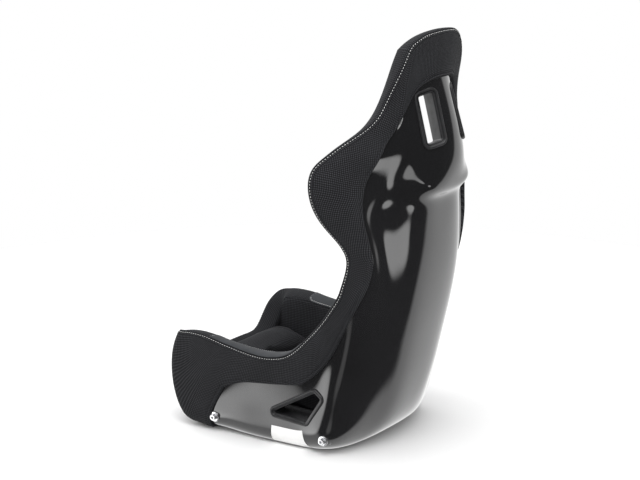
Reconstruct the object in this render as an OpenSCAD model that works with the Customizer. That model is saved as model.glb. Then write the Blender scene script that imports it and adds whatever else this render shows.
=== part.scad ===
// Fixed-back racing bucket seat: laminated shell, fabric covers, bonded pads,
// loose cushions, belt slot surrounds and side mounting hardware.
// +Z up, the seat faces -Y. Origin on the underside, midway between the four side bolts.

/* [Shell] */
// Wall thickness of the moulded shell
shell_t = 4; // [3:0.5:6]
// Segments between two neighbouring section lines of the shell
seg = 2; // [1:1:3]

/* [Upholstery] */
// Thickness of the fabric and foam cover glued to the outside of the rim
cover_t = 8; // [5:1:10]
// Thickness of the foam liner bonded inside the backrest
liner_t = 12; // [6:1:16]
// How far the padded rim stands out past the edge of the shell
roll_w = 11; // [8:1:14]
// Thickness of the pads inside the thigh sides
thigh_t = 34; // [26:1:38]
// Height of the squab cushion above the base foam
squab_h = 44; // [30:1:55]
// Thickness of the back cushion
back_t = 26; // [16:1:34]

/* [Belt slots] */
// Wall of the moulded belt slot surrounds
bezel_wall = 3; // [2:0.5:4]
// Width of the flange of the surrounds
bezel_flange = 9; // [7:0.5:11]
// Length of the crotch belt slot
crotch_l = 76; // [60:1:90]
// Width of the crotch belt slot
crotch_w = 30; // [24:1:40]

/* [Mounting] */
// Spacing of the side bolts along the seat
bolt_pitch = 290; // [286:1:294]
// Height of the side bolts above the underside
bolt_z = 34; // [30:1:38]
// Nominal thread of the side bolts
bolt_d = 8; // [6:1:8]
// Outer diameter of the washers
washer_d = 23; // [20:1:24]

/* [Hidden] */

// Section lines of the moulding, one row per section from the front lip, under the
// base and up the back to the top of the head. The eight points of a row run from the
// centre line to the rim: centre, panel, ridge, corner, flank, cover edge, mid cover, rim.
NET = [
 [[0,-258,128],[70,-258,128],[128,-258,134],[172,-256,184],[202,-241,209],[208,-222,214],[210,-203,217],[211,-184,217]],
 [[0,-265,104],[70,-265,104],[130,-265,112],[176,-264,154],[203,-254,172],[208,-232,180],[210,-204,190],[212,-165,216]],
 [[0,-262,70],[70,-262,70],[132,-262,76],[178,-262,108],[204,-257,122],[208,-234,136],[210,-200,160],[213,-146,213]],
 [[0,-248,36],[70,-248,36],[134,-248,38],[178,-250,58],[203,-247,66],[208,-224,96],[211,-184,141],[213,-128,209]],
 [[0,-222,15],[70,-222,15],[136,-222,15],[178,-224,20],[203,-221,26],[207,-198,70],[211,-164,130],[214,-112,206]],
 [[0,-190,9],[72,-190,9],[142,-190,9],[186,-190,11],[204,-182,34],[207,-156,84],[211,-132,146],[214,-97,204]],
 [[0,-158,6],[76,-158,6],[150,-158,6],[198,-158,12],[205,-150,56],[206,-116,109],[211,-100,158],[214,-80,201]],
 [[0,-105,-2],[80,-105,-2],[165,-103,-2],[203,-100,24],[205,-88,78],[206,-70,130],[210,-56,163],[214,-44,196]],
 [[0,-40,-2],[85,-40,-2],[172,-38,-2],[203,-38,24],[205,-28,80],[206,-14,138],[210,-6,166],[215,2,194]],
 [[0,26,-2],[85,26,-2],[172,26,-2],[203,24,24],[205,32,82],[206,38,145],[211,44,174],[216,50,203]],
 [[0,84,-2],[85,83,-2],[170,72,-2],[203,66,23],[205,66,84],[206,68,149],[212,74,184],[217,80,219]],
 [[0,134,-2],[83,132,-2],[163,114,-2],[203,96,24],[205,92,90],[206,92,155],[213,98,198],[218,104,239]],
 [[0,178,8],[78,174,7],[154,150,4],[204,122,26],[205,114,101],[206,116,172],[214,121,219],[219,126,262]],
 [[0,208,27],[72,204,26],[140,181,19],[204,150,33],[205,138,114],[206,140,194],[214,144,242],[219,147,285]],
 [[0,231,62],[67,227,61],[122,207,55],[195,178,56],[205,160,138],[207,164,224],[214,166,270],[219,166,309]],
 [[0,249,112],[63,246,111],[109,229,107],[176,199,100],[202,182,174],[207,186,262],[213,186,302],[218,183,335]],
 [[0,265,168],[61,262,168],[104,248,165],[160,219,152],[198,205,219],[206,207,306],[211,204,337],[215,198,361]],
 [[0,281,236],[60,278,236],[102,265,232],[150,238,217],[189,228,269],[200,227,347],[206,216,369],[209,205,386]],
 [[0,297,308],[60,294,308],[102,282,304],[143,257,289],[177,247,325],[192,246,388],[199,229,402],[204,211,411]],
 [[0,309,380],[60,306,380],[102,295,376],[138,273,365],[169,261,385],[190,256,425],[197,236,432],[202,215,436]],
 [[0,315,440],[60,312,440],[104,300,436],[142,276,432],[169,263,440],[193,258,455],[202,237,459],[210,216,462]],
 [[0,317,490],[60,314,490],[106,300,486],[148,273,484],[176,259,484],[200,255,486],[217,233,490],[229,208,494]],
 [[0,317,530],[60,315,530],[106,299,528],[149,269,526],[182,253,522],[207,249,518],[234,224,522],[251,189,528]],
 [[0,320,560],[56,318,561],[98,304,565],[134,274,568],[178,250,560],[212,246,551],[246,214,558],[268,173,566]],
 [[0,335,577],[50,335,580],[86,331,592],[114,300,602],[156,264,600],[208,243,586],[250,206,596],[273,165,605]],
 [[0,343,600],[42,341,602],[76,331,612],[104,308,626],[136,277,632],[197,244,616],[242,208,628],[268,168,640]],
 [[0,350,634],[36,345,636],[70,327,643],[105,301,652],[126,284,657],[180,251,643],[222,221,654],[251,188,664]],
 [[0,349,670],[34,343,671],[68,324,675],[104,297,682],[120,285,684],[166,260,667],[200,235,676],[226,207,684]],
 [[0,341,712],[32,335,712],[66,314,713],[102,290,713],[115,281,712],[147,262,690],[174,247,698],[196,229,706]],
 [[0,327,764],[30,321,763],[62,303,758],[92,286,747],[108,278,736],[128,268,712],[150,258,721],[168,247,730]],
 [[0,312,816],[28,308,815],[56,298,808],[78,287,790],[97,280,764],[112,274,738],[131,266,747],[148,256,756]],
 [[0,308,845],[28,306,844],[54,300,838],[75,292,824],[94,284,801],[110,277,774],[124,270,778],[135,265,788]],
 [[0,306,868],[28,305,867],[52,301,862],[72,295,851],[90,288,833],[105,281,811],[116,277,812],[125,275,820]],
 [[0,305,888],[28,304,887],[50,302,883],[68,298,876],[84,293,864],[98,287,848],[108,284,847],[116,283,850]],
 [[0,305,905],[28,304,904],[48,302,902],[64,299,899],[78,296,894],[89,293,889],[97,290,883],[104,288,876]]
];
NR = len(NET) - 1;
NC = len(NET[0]) - 1;

// Uniform cubic B-spline surface over the net, drawn tighter to it by two passes.
function mirx(p) = [-p[0], p[1], p[2]];
function cp(g, i, j) =
    i < 0 ? 2 * cp(g, 0, j) - cp(g, -i, j) :
    i > NR ? 2 * cp(g, NR, j) - cp(g, 2 * NR - i, j) :
    j < 0 ? mirx(cp(g, i, -j)) :
    j > NC ? 2 * cp(g, i, NC) - cp(g, i, 2 * NC - j) : g[i][j];
function soft(g, i, j) =

    (cp(g,i-1,j-1) + cp(g,i-1,j+1) + cp(g,i+1,j-1) + cp(g,i+1,j+1)
     + 4 * (cp(g,i-1,j) + cp(g,i+1,j) + cp(g,i,j-1) + cp(g,i,j+1)) + 16 * cp(g,i,j)) / 36;
function tight(g) = [for (i = [0:NR]) [for (j = [0:NC]) g[i][j] + (NET[i][j] - soft(g, i, j))]];
G1 = tight(NET);
G2 = tight(G1);
function b0(t) = [(1-t)*(1-t)*(1-t), 3*t*t*t - 6*t*t + 4, -3*t*t*t + 3*t*t + 3*t + 1, t*t*t] / 6;
function b1(t) = [-(1-t)*(1-t), 3*t*t - 4*t, -3*t*t + 2*t + 1, t*t] / 2;
function ev(u, v, du, dv) = let (
    i = min(floor(u), NR - 1), j = min(floor(v), NC - 1),
    a = du ? b1(u - i) : b0(u - i), b = dv ? b1(v - j) : b0(v - j))
    a[0] * (b[0]*cp(G2,i-1,j-1) + b[1]*cp(G2,i-1,j) + b[2]*cp(G2,i-1,j+1) + b[3]*cp(G2,i-1,j+2))
  + a[1] * (b[0]*cp(G2,i,j-1) + b[1]*cp(G2,i,j) + b[2]*cp(G2,i,j+1) + b[3]*cp(G2,i,j+2))
  + a[2] * (b[0]*cp(G2,i+1,j-1) + b[1]*cp(G2,i+1,j) + b[2]*cp(G2,i+1,j+1) + b[3]*cp(G2,i+1,j+2))
  + a[3] * (b[0]*cp(G2,i+2,j-1) + b[1]*cp(G2,i+2,j) + b[2]*cp(G2,i+2,j+1) + b[3]*cp(G2,i+2,j+2));
function unit(v) = v / max(norm(v), 1e-9);
function clampu(u) = min(max(u, 0.15), NR - 0.15);
function clampv(v) = min(v, NC - 0.15);
// Outward unit normal at (u, v)
function nrm(u, v) = let (a = clampu(u), b = clampv(v), n = unit(cross(ev(a, b, true, false), ev(a, b, false, true))))
    v < 0.001 ? unit([0, n[1], n[2]]) : n;
// Point d outside the surface; negative v is the right-hand side
function pt(u, v, d) = let (w = abs(v), q = ev(u, w, false, false) + d * nrm(u, w),
    p = [w < 0.001 ? 0 : q[0], q[1], max(q[2], d < 0 ? -d : 0)]) // the underside is planed flat at z = 0
    v < 0 ? mirx(p) : p;
function steps(a, b, n) = [for (i = [0:n]) a + (b - a) * i / n];
function ramp(x) = let (t = min(max(x, 0), 1)) t * t * (3 - 2 * t);
function table(t, u) = let (i = min(floor(u), len(t) - 2)) t[i] + (t[i+1] - t[i]) * (u - i);

// Thickness of the side pads along the rim, one value per section
PAD = [thigh_t,thigh_t,thigh_t,thigh_t,thigh_t,thigh_t,thigh_t,thigh_t,thigh_t,thigh_t,thigh_t,thigh_t,
       34,33,31,29,27,25,24,24,24,25,26,27,28,28,28,28,28,29,30,30,30,29,28];
function pad(u, v) = let (w = abs(v))
    u < 11 ? table(PAD, u) :
    let (base = liner_t + 18 * ramp((u - 24.5) / 2), k = ramp((w - 2.4) / 2.2)) base + (table(PAD, u) - base) * k;

// Closed solid between two grids of points that share their layout
module grids(A, B) {
    n = len(A); m = len(A[0]);
    pts = concat([for (r = A) for (p = r) p], [for (r = B) for (p = r) p]);
    function a(i, j) = i * m + j;
    function b(i, j) = n * m + i * m + j;
    faces = concat(
        [for (i = [0:n-2]) for (j = [0:m-2]) each [[a(i,j), a(i+1,j), a(i+1,j+1)], [a(i,j), a(i+1,j+1), a(i,j+1)]]],
        [for (i = [0:n-2]) for (j = [0:m-2]) each [[b(i,j), b(i+1,j+1), b(i+1,j)], [b(i,j), b(i,j+1), b(i+1,j+1)]]],
        [for (i = [0:n-2]) each [[a(i,0), b(i,0), b(i+1,0)], [a(i,0), b(i+1,0), a(i+1,0)]]],
        [for (i = [0:n-2]) each [[a(i,m-1), b(i+1,m-1), b(i,m-1)], [a(i,m-1), a(i+1,m-1), b(i+1,m-1)]]],
        [for (j = [0:m-2]) each [[a(0,j), b(0,j+1), b(0,j)], [a(0,j), a(0,j+1), b(0,j+1)]]],
        [for (j = [0:m-2]) each [[a(n-1,j), b(n-1,j), b(n-1,j+1)], [a(n-1,j), b(n-1,j+1), a(n-1,j+1)]]]);
    polyhedron(pts, faces, convexity = 12);
}
// Layer of the moulding between two offsets, over the sections us and the lines vs
module layer(us, vs, outer, inner) {
    grids([for (u = us) [for (v = vs) pt(u, v, outer)]], [for (u = us) [for (v = vs) pt(u, v, inner)]]);
}
// Pad that lines the inside of the moulding with the thickness pad(u, v)
module lining(us, vs, extra = 0, start = 0) {
    grids([for (u = us) [for (v = vs) pt(u, v, -shell_t - start - (extra > 0 ? pad(u, v) : 0))]],
          [for (u = us) [for (v = vs) pt(u, v, -shell_t - pad(u, v) - extra)]]);
}
half = concat([0, 1], steps(1.5, 4, 5), [5, 6, 7]);
full = concat([for (i = [len(half)-1:-1:1]) -half[i]], half);
function both(vs) = concat([for (i = [len(vs)-1:-1:1]) -vs[i]], vs);

// Padded rim: section of the roll in the plane across the edge. a runs out past the edge, b along the normal.
function rollsec(t) = [[0, cover_t], [roll_w*0.4, cover_t - 0.8], [roll_w*0.8, cover_t - 5], [roll_w, 0],
    [roll_w*1.05, -0.45*t], [roll_w*0.9, -shell_t - 0.75*t], [roll_w*0.5, -shell_t - 0.95*t], [0, -shell_t - t]];
module roll(pos, nor, out, thick) {
    n = len(pos); k = 8;
    pts = [for (i = [0:n-1]) for (s = rollsec(thick[i])) pos[i] + out[i]*s[0] + nor[i]*s[1]];
    faces = concat(
        [for (i = [0:n-2]) for (j = [0:k-1]) let (q = (j+1)%k) each [[i*k+j, (i+1)*k+j, (i+1)*k+q], [i*k+j, (i+1)*k+q, i*k+q]]],
        [[for (j = [0:k-1]) j]], [[for (j = [k-1:-1:0]) (n-1)*k + j]]);
    polyhedron(pts, faces, convexity = 12);
}
function along_u(u, v) = unit(ev(clampu(u), min(v, NC), true, false));
function along_v(u, v) = unit(ev(u, clampv(v), false, true));
module side_roll() {
    us = steps(0, NR, NR * seg);
    P = [for (u = us) pt(u, NC, 0)]; N = [for (u = us) nrm(u, NC)];
    T = [for (i = [0:len(us)-1]) unit(P[min(i+1, len(us)-1)] - P[max(i-1, 0)])];
    roll(P, N, [for (i = [0:len(us)-1]) unit(cross(N[i], T[i]))], [for (u = us) pad(u, NC)]);
}
// Row 0 or the last row, over the full width
module end_roll(u, s) {
    vs = both(steps(0, NC, NC * seg)); m = len(vs);
    P = [for (v = vs) pt(u, v, 0)];
    N = [for (v = vs) let (n = nrm(u, abs(v))) v < 0 ? mirx(n) : n];
    T = [for (i = [0:m-1]) unit(P[min(i+1, m-1)] - P[max(i-1, 0)])];
    O = [for (i = [0:m-1]) s * unit(cross(N[i], T[i]))];
    if (s > 0) roll(P, N, O, [for (v = vs) pad(u, v)]);
    else roll([for (i = [m-1:-1:0]) P[i]], [for (i = [m-1:-1:0]) N[i]], [for (i = [m-1:-1:0]) O[i]], [for (i = [m-1:-1:0]) pad(u, vs[i])]);
}

// Harness slot: its own plane on the slope of the neck
slot_c = [55.5, 313, 735];
slot_x = [-0.837, 0.486, 0.251];
slot_y = [0.078, -0.348, 0.933];
slot_n = [0.541, 0.801, 0.254];
slot_pts = [[-20, 62], [38, 62], [20, -63], [-38, -61]];
module slot_frame() multmatrix([[slot_x[0], slot_y[0], slot_n[0], slot_c[0]], [slot_x[1], slot_y[1], slot_n[1], slot_c[1]],
    [slot_x[2], slot_y[2], slot_n[2], slot_c[2]], [0, 0, 0, 1]]) children();
module slot_outline(d) offset(r = d, $fn = 24) offset(delta = -12) polygon(slot_pts);
module slot_prism(d, z0, z1) slot_frame() translate([0, 0, z0]) linear_extrude(z1 - z0) slot_outline(d);
slot_in = 12 - bezel_flange;

// Lap belt slot on the side of the base, in the Y-Z plane
lap_pts = [[8, 66], [104, 60], [148, 128], [122, 148], [8, 84]];
module lap_outline(d) offset(r = d, $fn = 24) offset(delta = -8) polygon(lap_pts);
module lap_prism(d, x0, x1) translate([x0, 0, 0]) rotate([90, 0, 90]) linear_extrude(x1 - x0) lap_outline(d);

module bolt_holes(d, x0, x1) for (s = [-1, 1], y = [-1, 1])
    translate([s > 0 ? x0 : -x1, y * bolt_pitch / 2, bolt_z]) rotate([0, 90, 0]) cylinder(h = x1 - x0, d = d, $fn = 32);
module crotch(d, z0, z1) translate([0, -70, z0]) linear_extrude(z1 - z0)
    hull() for (s = [-1, 1]) translate([s * (crotch_l - crotch_w) / 2, 0]) circle(d = crotch_w + 2 * d, $fn = 48);

module shell() color([0.03, 0.03, 0.035]) resize([0, 0, 0]) difference() {
    layer(steps(0, NR, NR * seg), full, 0, -shell_t);
    slot_prism(slot_in + 0.3, -60, 40);
    mirror([1, 0, 0]) slot_prism(slot_in + 0.3, -60, 40);
    lap_prism(2.3, 150, 230);
    mirror([1, 0, 0]) lap_prism(2.3, 150, 230);
    bolt_holes(bolt_d + 1, 180, 220);
    crotch(0.3, -10, 20);
}
module side_cover() layer(steps(6, 30, 24 * seg), steps(5, 7, 4), cover_t, 0);
module side_cover_left() color([0.11, 0.115, 0.12]) side_cover();
module side_cover_right() color([0.11, 0.115, 0.12]) mirror([1, 0, 0]) side_cover();
module front_apron() color([0.12, 0.125, 0.13]) layer(steps(0, 6, 6 * seg), full, cover_t, 0);
module head_back_cover() color([0.12, 0.125, 0.13]) layer(steps(30, 34, 4 * seg), full, cover_t, 0);
module edge_roll_left() color([0.1, 0.1, 0.105]) side_roll();
module edge_roll_right() color([0.1, 0.1, 0.105]) mirror([1, 0, 0]) side_roll();
module front_edge_roll() color([0.1, 0.1, 0.105]) end_roll(0, 1);
module head_edge_roll() color([0.1, 0.1, 0.105]) end_roll(NR, -1);

module thigh_pad() resize([0, 0, 0]) difference() {
    lining(steps(0, 14, 14 * seg), [3.4, 4.1, 4.8, 5.5, 6.2, 7]);
    lap_prism(2.6, 140, 230);
}
module thigh_pad_left() color([0.13, 0.13, 0.14]) thigh_pad();
module thigh_pad_right() color([0.13, 0.13, 0.14]) mirror([1, 0, 0]) thigh_pad();
module hip_pad() lining(steps(14, 18, 4 * seg), steps(3.8, 7, 5));
module hip_pad_left() color([0.14, 0.14, 0.15]) hip_pad();
module hip_pad_right() color([0.14, 0.14, 0.15]) mirror([1, 0, 0]) hip_pad();
module shoulder_pad() lining(steps(18, 28, 10 * seg), steps(3.8, 7, 5));
module shoulder_pad_left() color([0.13, 0.13, 0.14]) shoulder_pad();
module shoulder_pad_right() color([0.13, 0.13, 0.14]) mirror([1, 0, 0]) shoulder_pad();
module head_wing_pad() lining(steps(28, 34, 6 * seg), steps(3.8, 7, 5));
module head_wing_pad_left() color([0.14, 0.14, 0.15]) head_wing_pad();
module head_wing_pad_right() color([0.14, 0.14, 0.15]) mirror([1, 0, 0]) head_wing_pad();
module front_wall_pad() color([0.13, 0.13, 0.14]) lining(steps(0, 3, 3 * seg), both([0, 1, 2, 2.8, 3.4]));
module back_liner() color([0.12, 0.12, 0.13]) lining(steps(14, 25, 22), both([0, 1, 1.5, 2, 2.5, 3, 3.4, 3.8]));
module neck_pad() color([0.13, 0.13, 0.14]) resize([0, 0, 0]) difference() {
    lining(steps(25, 34, 18), both([0, 1, 1.5, 2, 2.5, 3, 3.4, 3.8]));
    slot_prism(slot_in + 0.3, -80, 40);
    mirror([1, 0, 0]) slot_prism(slot_in + 0.3, -80, 40);
}

// Side profiles of the seat cushions, as [y, z] outlines extruded across the seat
module across(w, r, pts) rotate([90, 0, 90]) translate([0, 0, -w / 2]) linear_extrude(w)
    offset(r = r, $fn = 24) offset(delta = -r) polygon(pts);
foam_top = 74;
module base_foam() color([0.09, 0.09, 0.1]) resize([0, 0, 0]) difference() {
    across(300, 6, [[-208, 30], [-180, 16], [-150, 12], [-100, 6], [120, 6], [150, 12], [176, 34], [196, 66], [150, foam_top - 6], [-100, foam_top], [-216, 86], [-222, 60]]);
    crotch(1.5, -10, 200);
}
module seat_squab() color([0.15, 0.15, 0.16]) resize([0, 0, 0]) difference() {
    across(312, 14, [[-120, foam_top + 2], [150, foam_top - 5], [196, foam_top - 2], [212, foam_top + 18], [190, foam_top + squab_h - 10], [40, foam_top + squab_h - 2], [-116, foam_top + squab_h + 8]]);
    crotch(1.5, 0, 220);
}
module leg_support_cushion() color([0.15, 0.15, 0.16]) across(312, 13, [[-122, foam_top + 4], [-216, 90], [-238, 112], [-238, 136], [-214, 149], [-180, 146], [-122, foam_top + squab_h + 8]]);
module cushion(us, vs, t) grids([for (u = us) [for (v = vs) pt(u, v, -shell_t - pad(u, v) - 0.3)]],
    [for (i = [0:len(us)-1]) [for (j = [0:len(vs)-1]) let (e = sin(180 * i / (len(us)-1)), f = sin(180 * j / (len(vs)-1)))
        pt(us[i], vs[j], -shell_t - pad(us[i], vs[j]) - t * (0.55 + 0.45 * pow(max(e * f, 0), 0.4)))]]);
module lumbar_cushion() color([0.16, 0.16, 0.17]) cushion(steps(15.3, 18.1, 6), both([0, 0.5, 1, 1.5, 2, 2.4]), back_t + 2);
module back_cushion() color([0.16, 0.16, 0.17]) cushion(steps(18.3, 24.6, 12), both([0, 0.5, 1, 1.5, 2, 2.4]), back_t);
module head_cushion() color([0.16, 0.16, 0.17]) cushion(steps(30.6, 33.6, 6), both([0, 0.5, 1, 1.7, 2.4, 3, 3.5]), 24);
module wear_patch() lining(steps(3.5, 11, 15), steps(6.2, 7, 3), 1.5);
module wear_patch_left() color([0.24, 0.25, 0.26]) wear_patch();
module wear_patch_right() color([0.24, 0.25, 0.26]) mirror([1, 0, 0]) wear_patch();

// Surround of a harness slot: flange on the outside and a sleeve through the shell and pad
module slot_rear() slot_frame() {
    difference() {
        union() {
            translate([0, 0, 0.5]) linear_extrude(4.5) slot_outline(12);
            translate([0, 0, -22]) linear_extrude(26) slot_outline(slot_in);
        }
        translate([0, 0, -30]) linear_extrude(50) slot_outline(slot_in - bezel_wall);
    }
}
module slot_front() slot_frame() {
    difference() {
        union() {
            translate([0, 0, -46]) linear_extrude(4) slot_outline(12);
            translate([0, 0, -43]) linear_extrude(20.8) slot_outline(slot_in);
        }
        translate([0, 0, -60]) linear_extrude(50) slot_outline(slot_in - bezel_wall);
    }
}
module harness_bezel_rear_left() color([0.05, 0.05, 0.055]) slot_rear();
module harness_bezel_rear_right() color([0.05, 0.05, 0.055]) mirror([1, 0, 0]) slot_rear();
module harness_bezel_front_left() color([0.05, 0.05, 0.055]) slot_front();
module harness_bezel_front_right() color([0.05, 0.05, 0.055]) mirror([1, 0, 0]) slot_front();
module lap_bezel(x0, x1, f0, f1) difference() {
    union() { lap_prism(2, x0, x1); lap_prism(8 + 2, f0, f1); }
    lap_prism(2 - bezel_wall, x0 - 10, x1 + 10);
}
module lap_bezel_outer_left() color([0.05, 0.05, 0.055]) lap_bezel(186, 209, 205.5, 209);
module lap_bezel_outer_right() color([0.05, 0.05, 0.055]) mirror([1, 0, 0]) lap_bezel(186, 209, 205.5, 209);
module lap_bezel_inner_left() color([0.05, 0.05, 0.055]) lap_bezel(163, 185.7, 163, 166.5);
module lap_bezel_inner_right() color([0.05, 0.05, 0.055]) mirror([1, 0, 0]) lap_bezel(163, 185.7, 163, 166.5);
module crotch_bezel_base() color([0.05, 0.05, 0.055]) difference() {
    union() { crotch(-0.1, 0, 5); crotch(7, 4.2, 5.8); }
    crotch(-bezel_wall, -5, 12);
}
module crotch_bezel_top() color([0.05, 0.05, 0.055]) difference() {
    union() { crotch(-0.5, foam_top + squab_h - 18, foam_top + squab_h + 6); crotch(7, foam_top + squab_h + 5.6, foam_top + squab_h + 9); }
    crotch(-bezel_wall, 40, 180);
}

// Steel plate laminated inside each side, with the nuts of the side bolts
module mount_plate() difference() {
    translate([190, 0, 0]) rotate([90, 0, 90]) linear_extrude(4) offset(r = 6, $fn = 24)
        polygon([[-158, 30], [152, 30], [152, 42], [-158, 42]]);
    for (y = [-1, 1]) translate([180, y * bolt_pitch / 2, bolt_z]) rotate([0, 90, 0]) cylinder(h = 30, d = bolt_d + 0.6, $fn = 48);
}
module mount_plate_left() color([0.55, 0.56, 0.58]) mount_plate();
module mount_plate_right() color([0.55, 0.56, 0.58]) mirror([1, 0, 0]) mount_plate();
module captive_nuts() color([0.7, 0.7, 0.72]) for (s = [0, 1], y = [-1, 1]) mirror([s, 0, 0])
    translate([181.5, y * bolt_pitch / 2, bolt_z]) rotate([0, 90, 0]) difference() {
        union() { cylinder(h = 8.3, d = 15, $fn = 6); translate([0, 0, 6.7]) cylinder(h = 1.6, d = 18, $fn = 48); }
        translate([0, 0, -1]) cylinder(h = 12, d = bolt_d, $fn = 48);
    }
bolt_x = 205.6;
module mount_bolts() color([0.78, 0.79, 0.8]) for (s = [0, 1], y = [-1, 1]) mirror([s, 0, 0])
    translate([0, y * bolt_pitch / 2, bolt_z]) rotate([0, 90, 0]) difference() {
        union() {
            translate([0, 0, bolt_x + 2]) cylinder(h = bolt_d, d = bolt_d * 1.625, $fn = 48);
            translate([0, 0, 179]) cylinder(h = bolt_x + 2.5 - 179, d = bolt_d, $fn = 48);
        }
        translate([0, 0, bolt_x + 2 + bolt_d * 0.4]) cylinder(h = bolt_d, d = bolt_d * 0.75 / cos(30), $fn = 6);
    }
module mount_washers() color([0.8, 0.8, 0.82]) for (s = [0, 1], y = [-1, 1]) mirror([s, 0, 0])
    translate([bolt_x, y * bolt_pitch / 2, bolt_z]) rotate([0, 90, 0]) difference() {
        cylinder(h = 2, d = washer_d, $fn = 64);
        translate([0, 0, -1]) cylinder(h = 4, d = bolt_d + 0.4, $fn = 48);
    }
module label() color([0.9, 0.9, 0.88]) layer(steps(8.7, 10.9, 8), steps(2.35, 3.4, 5), 0.8, 0.1);

shell();
side_cover_left();
side_cover_right();
front_apron();
head_back_cover();
edge_roll_left();
edge_roll_right();
front_edge_roll();
head_edge_roll();
thigh_pad_left();
thigh_pad_right();
hip_pad_left();
hip_pad_right();
shoulder_pad_left();
shoulder_pad_right();
head_wing_pad_left();
head_wing_pad_right();
front_wall_pad();
back_liner();
neck_pad();
base_foam();
seat_squab();
leg_support_cushion();
lumbar_cushion();
back_cushion();
head_cushion();
wear_patch_left();
wear_patch_right();
harness_bezel_rear_left();
harness_bezel_rear_right();
harness_bezel_front_left();
harness_bezel_front_right();
lap_bezel_outer_left();
lap_bezel_outer_right();
lap_bezel_inner_left();
lap_bezel_inner_right();
crotch_bezel_base();
crotch_bezel_top();
mount_plate_left();
mount_plate_right();
captive_nuts();
mount_bolts();
mount_washers();
label();
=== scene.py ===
import math
import bpy
import bmesh
import numpy as np
from mathutils import Matrix, Vector
from mathutils.kdtree import KDTree


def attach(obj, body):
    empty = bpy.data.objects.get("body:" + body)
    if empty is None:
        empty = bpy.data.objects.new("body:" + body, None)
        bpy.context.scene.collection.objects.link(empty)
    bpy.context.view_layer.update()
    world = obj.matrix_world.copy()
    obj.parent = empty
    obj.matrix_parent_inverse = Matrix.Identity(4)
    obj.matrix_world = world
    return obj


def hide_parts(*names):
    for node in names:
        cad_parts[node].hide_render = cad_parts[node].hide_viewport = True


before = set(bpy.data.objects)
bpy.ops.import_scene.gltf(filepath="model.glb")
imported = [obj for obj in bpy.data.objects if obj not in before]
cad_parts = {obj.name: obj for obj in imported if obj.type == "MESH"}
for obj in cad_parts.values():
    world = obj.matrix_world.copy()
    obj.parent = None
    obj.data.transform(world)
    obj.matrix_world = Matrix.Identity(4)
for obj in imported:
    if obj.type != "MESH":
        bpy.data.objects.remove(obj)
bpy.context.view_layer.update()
SCENE = bpy.context.scene
MM = 0.001

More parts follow.
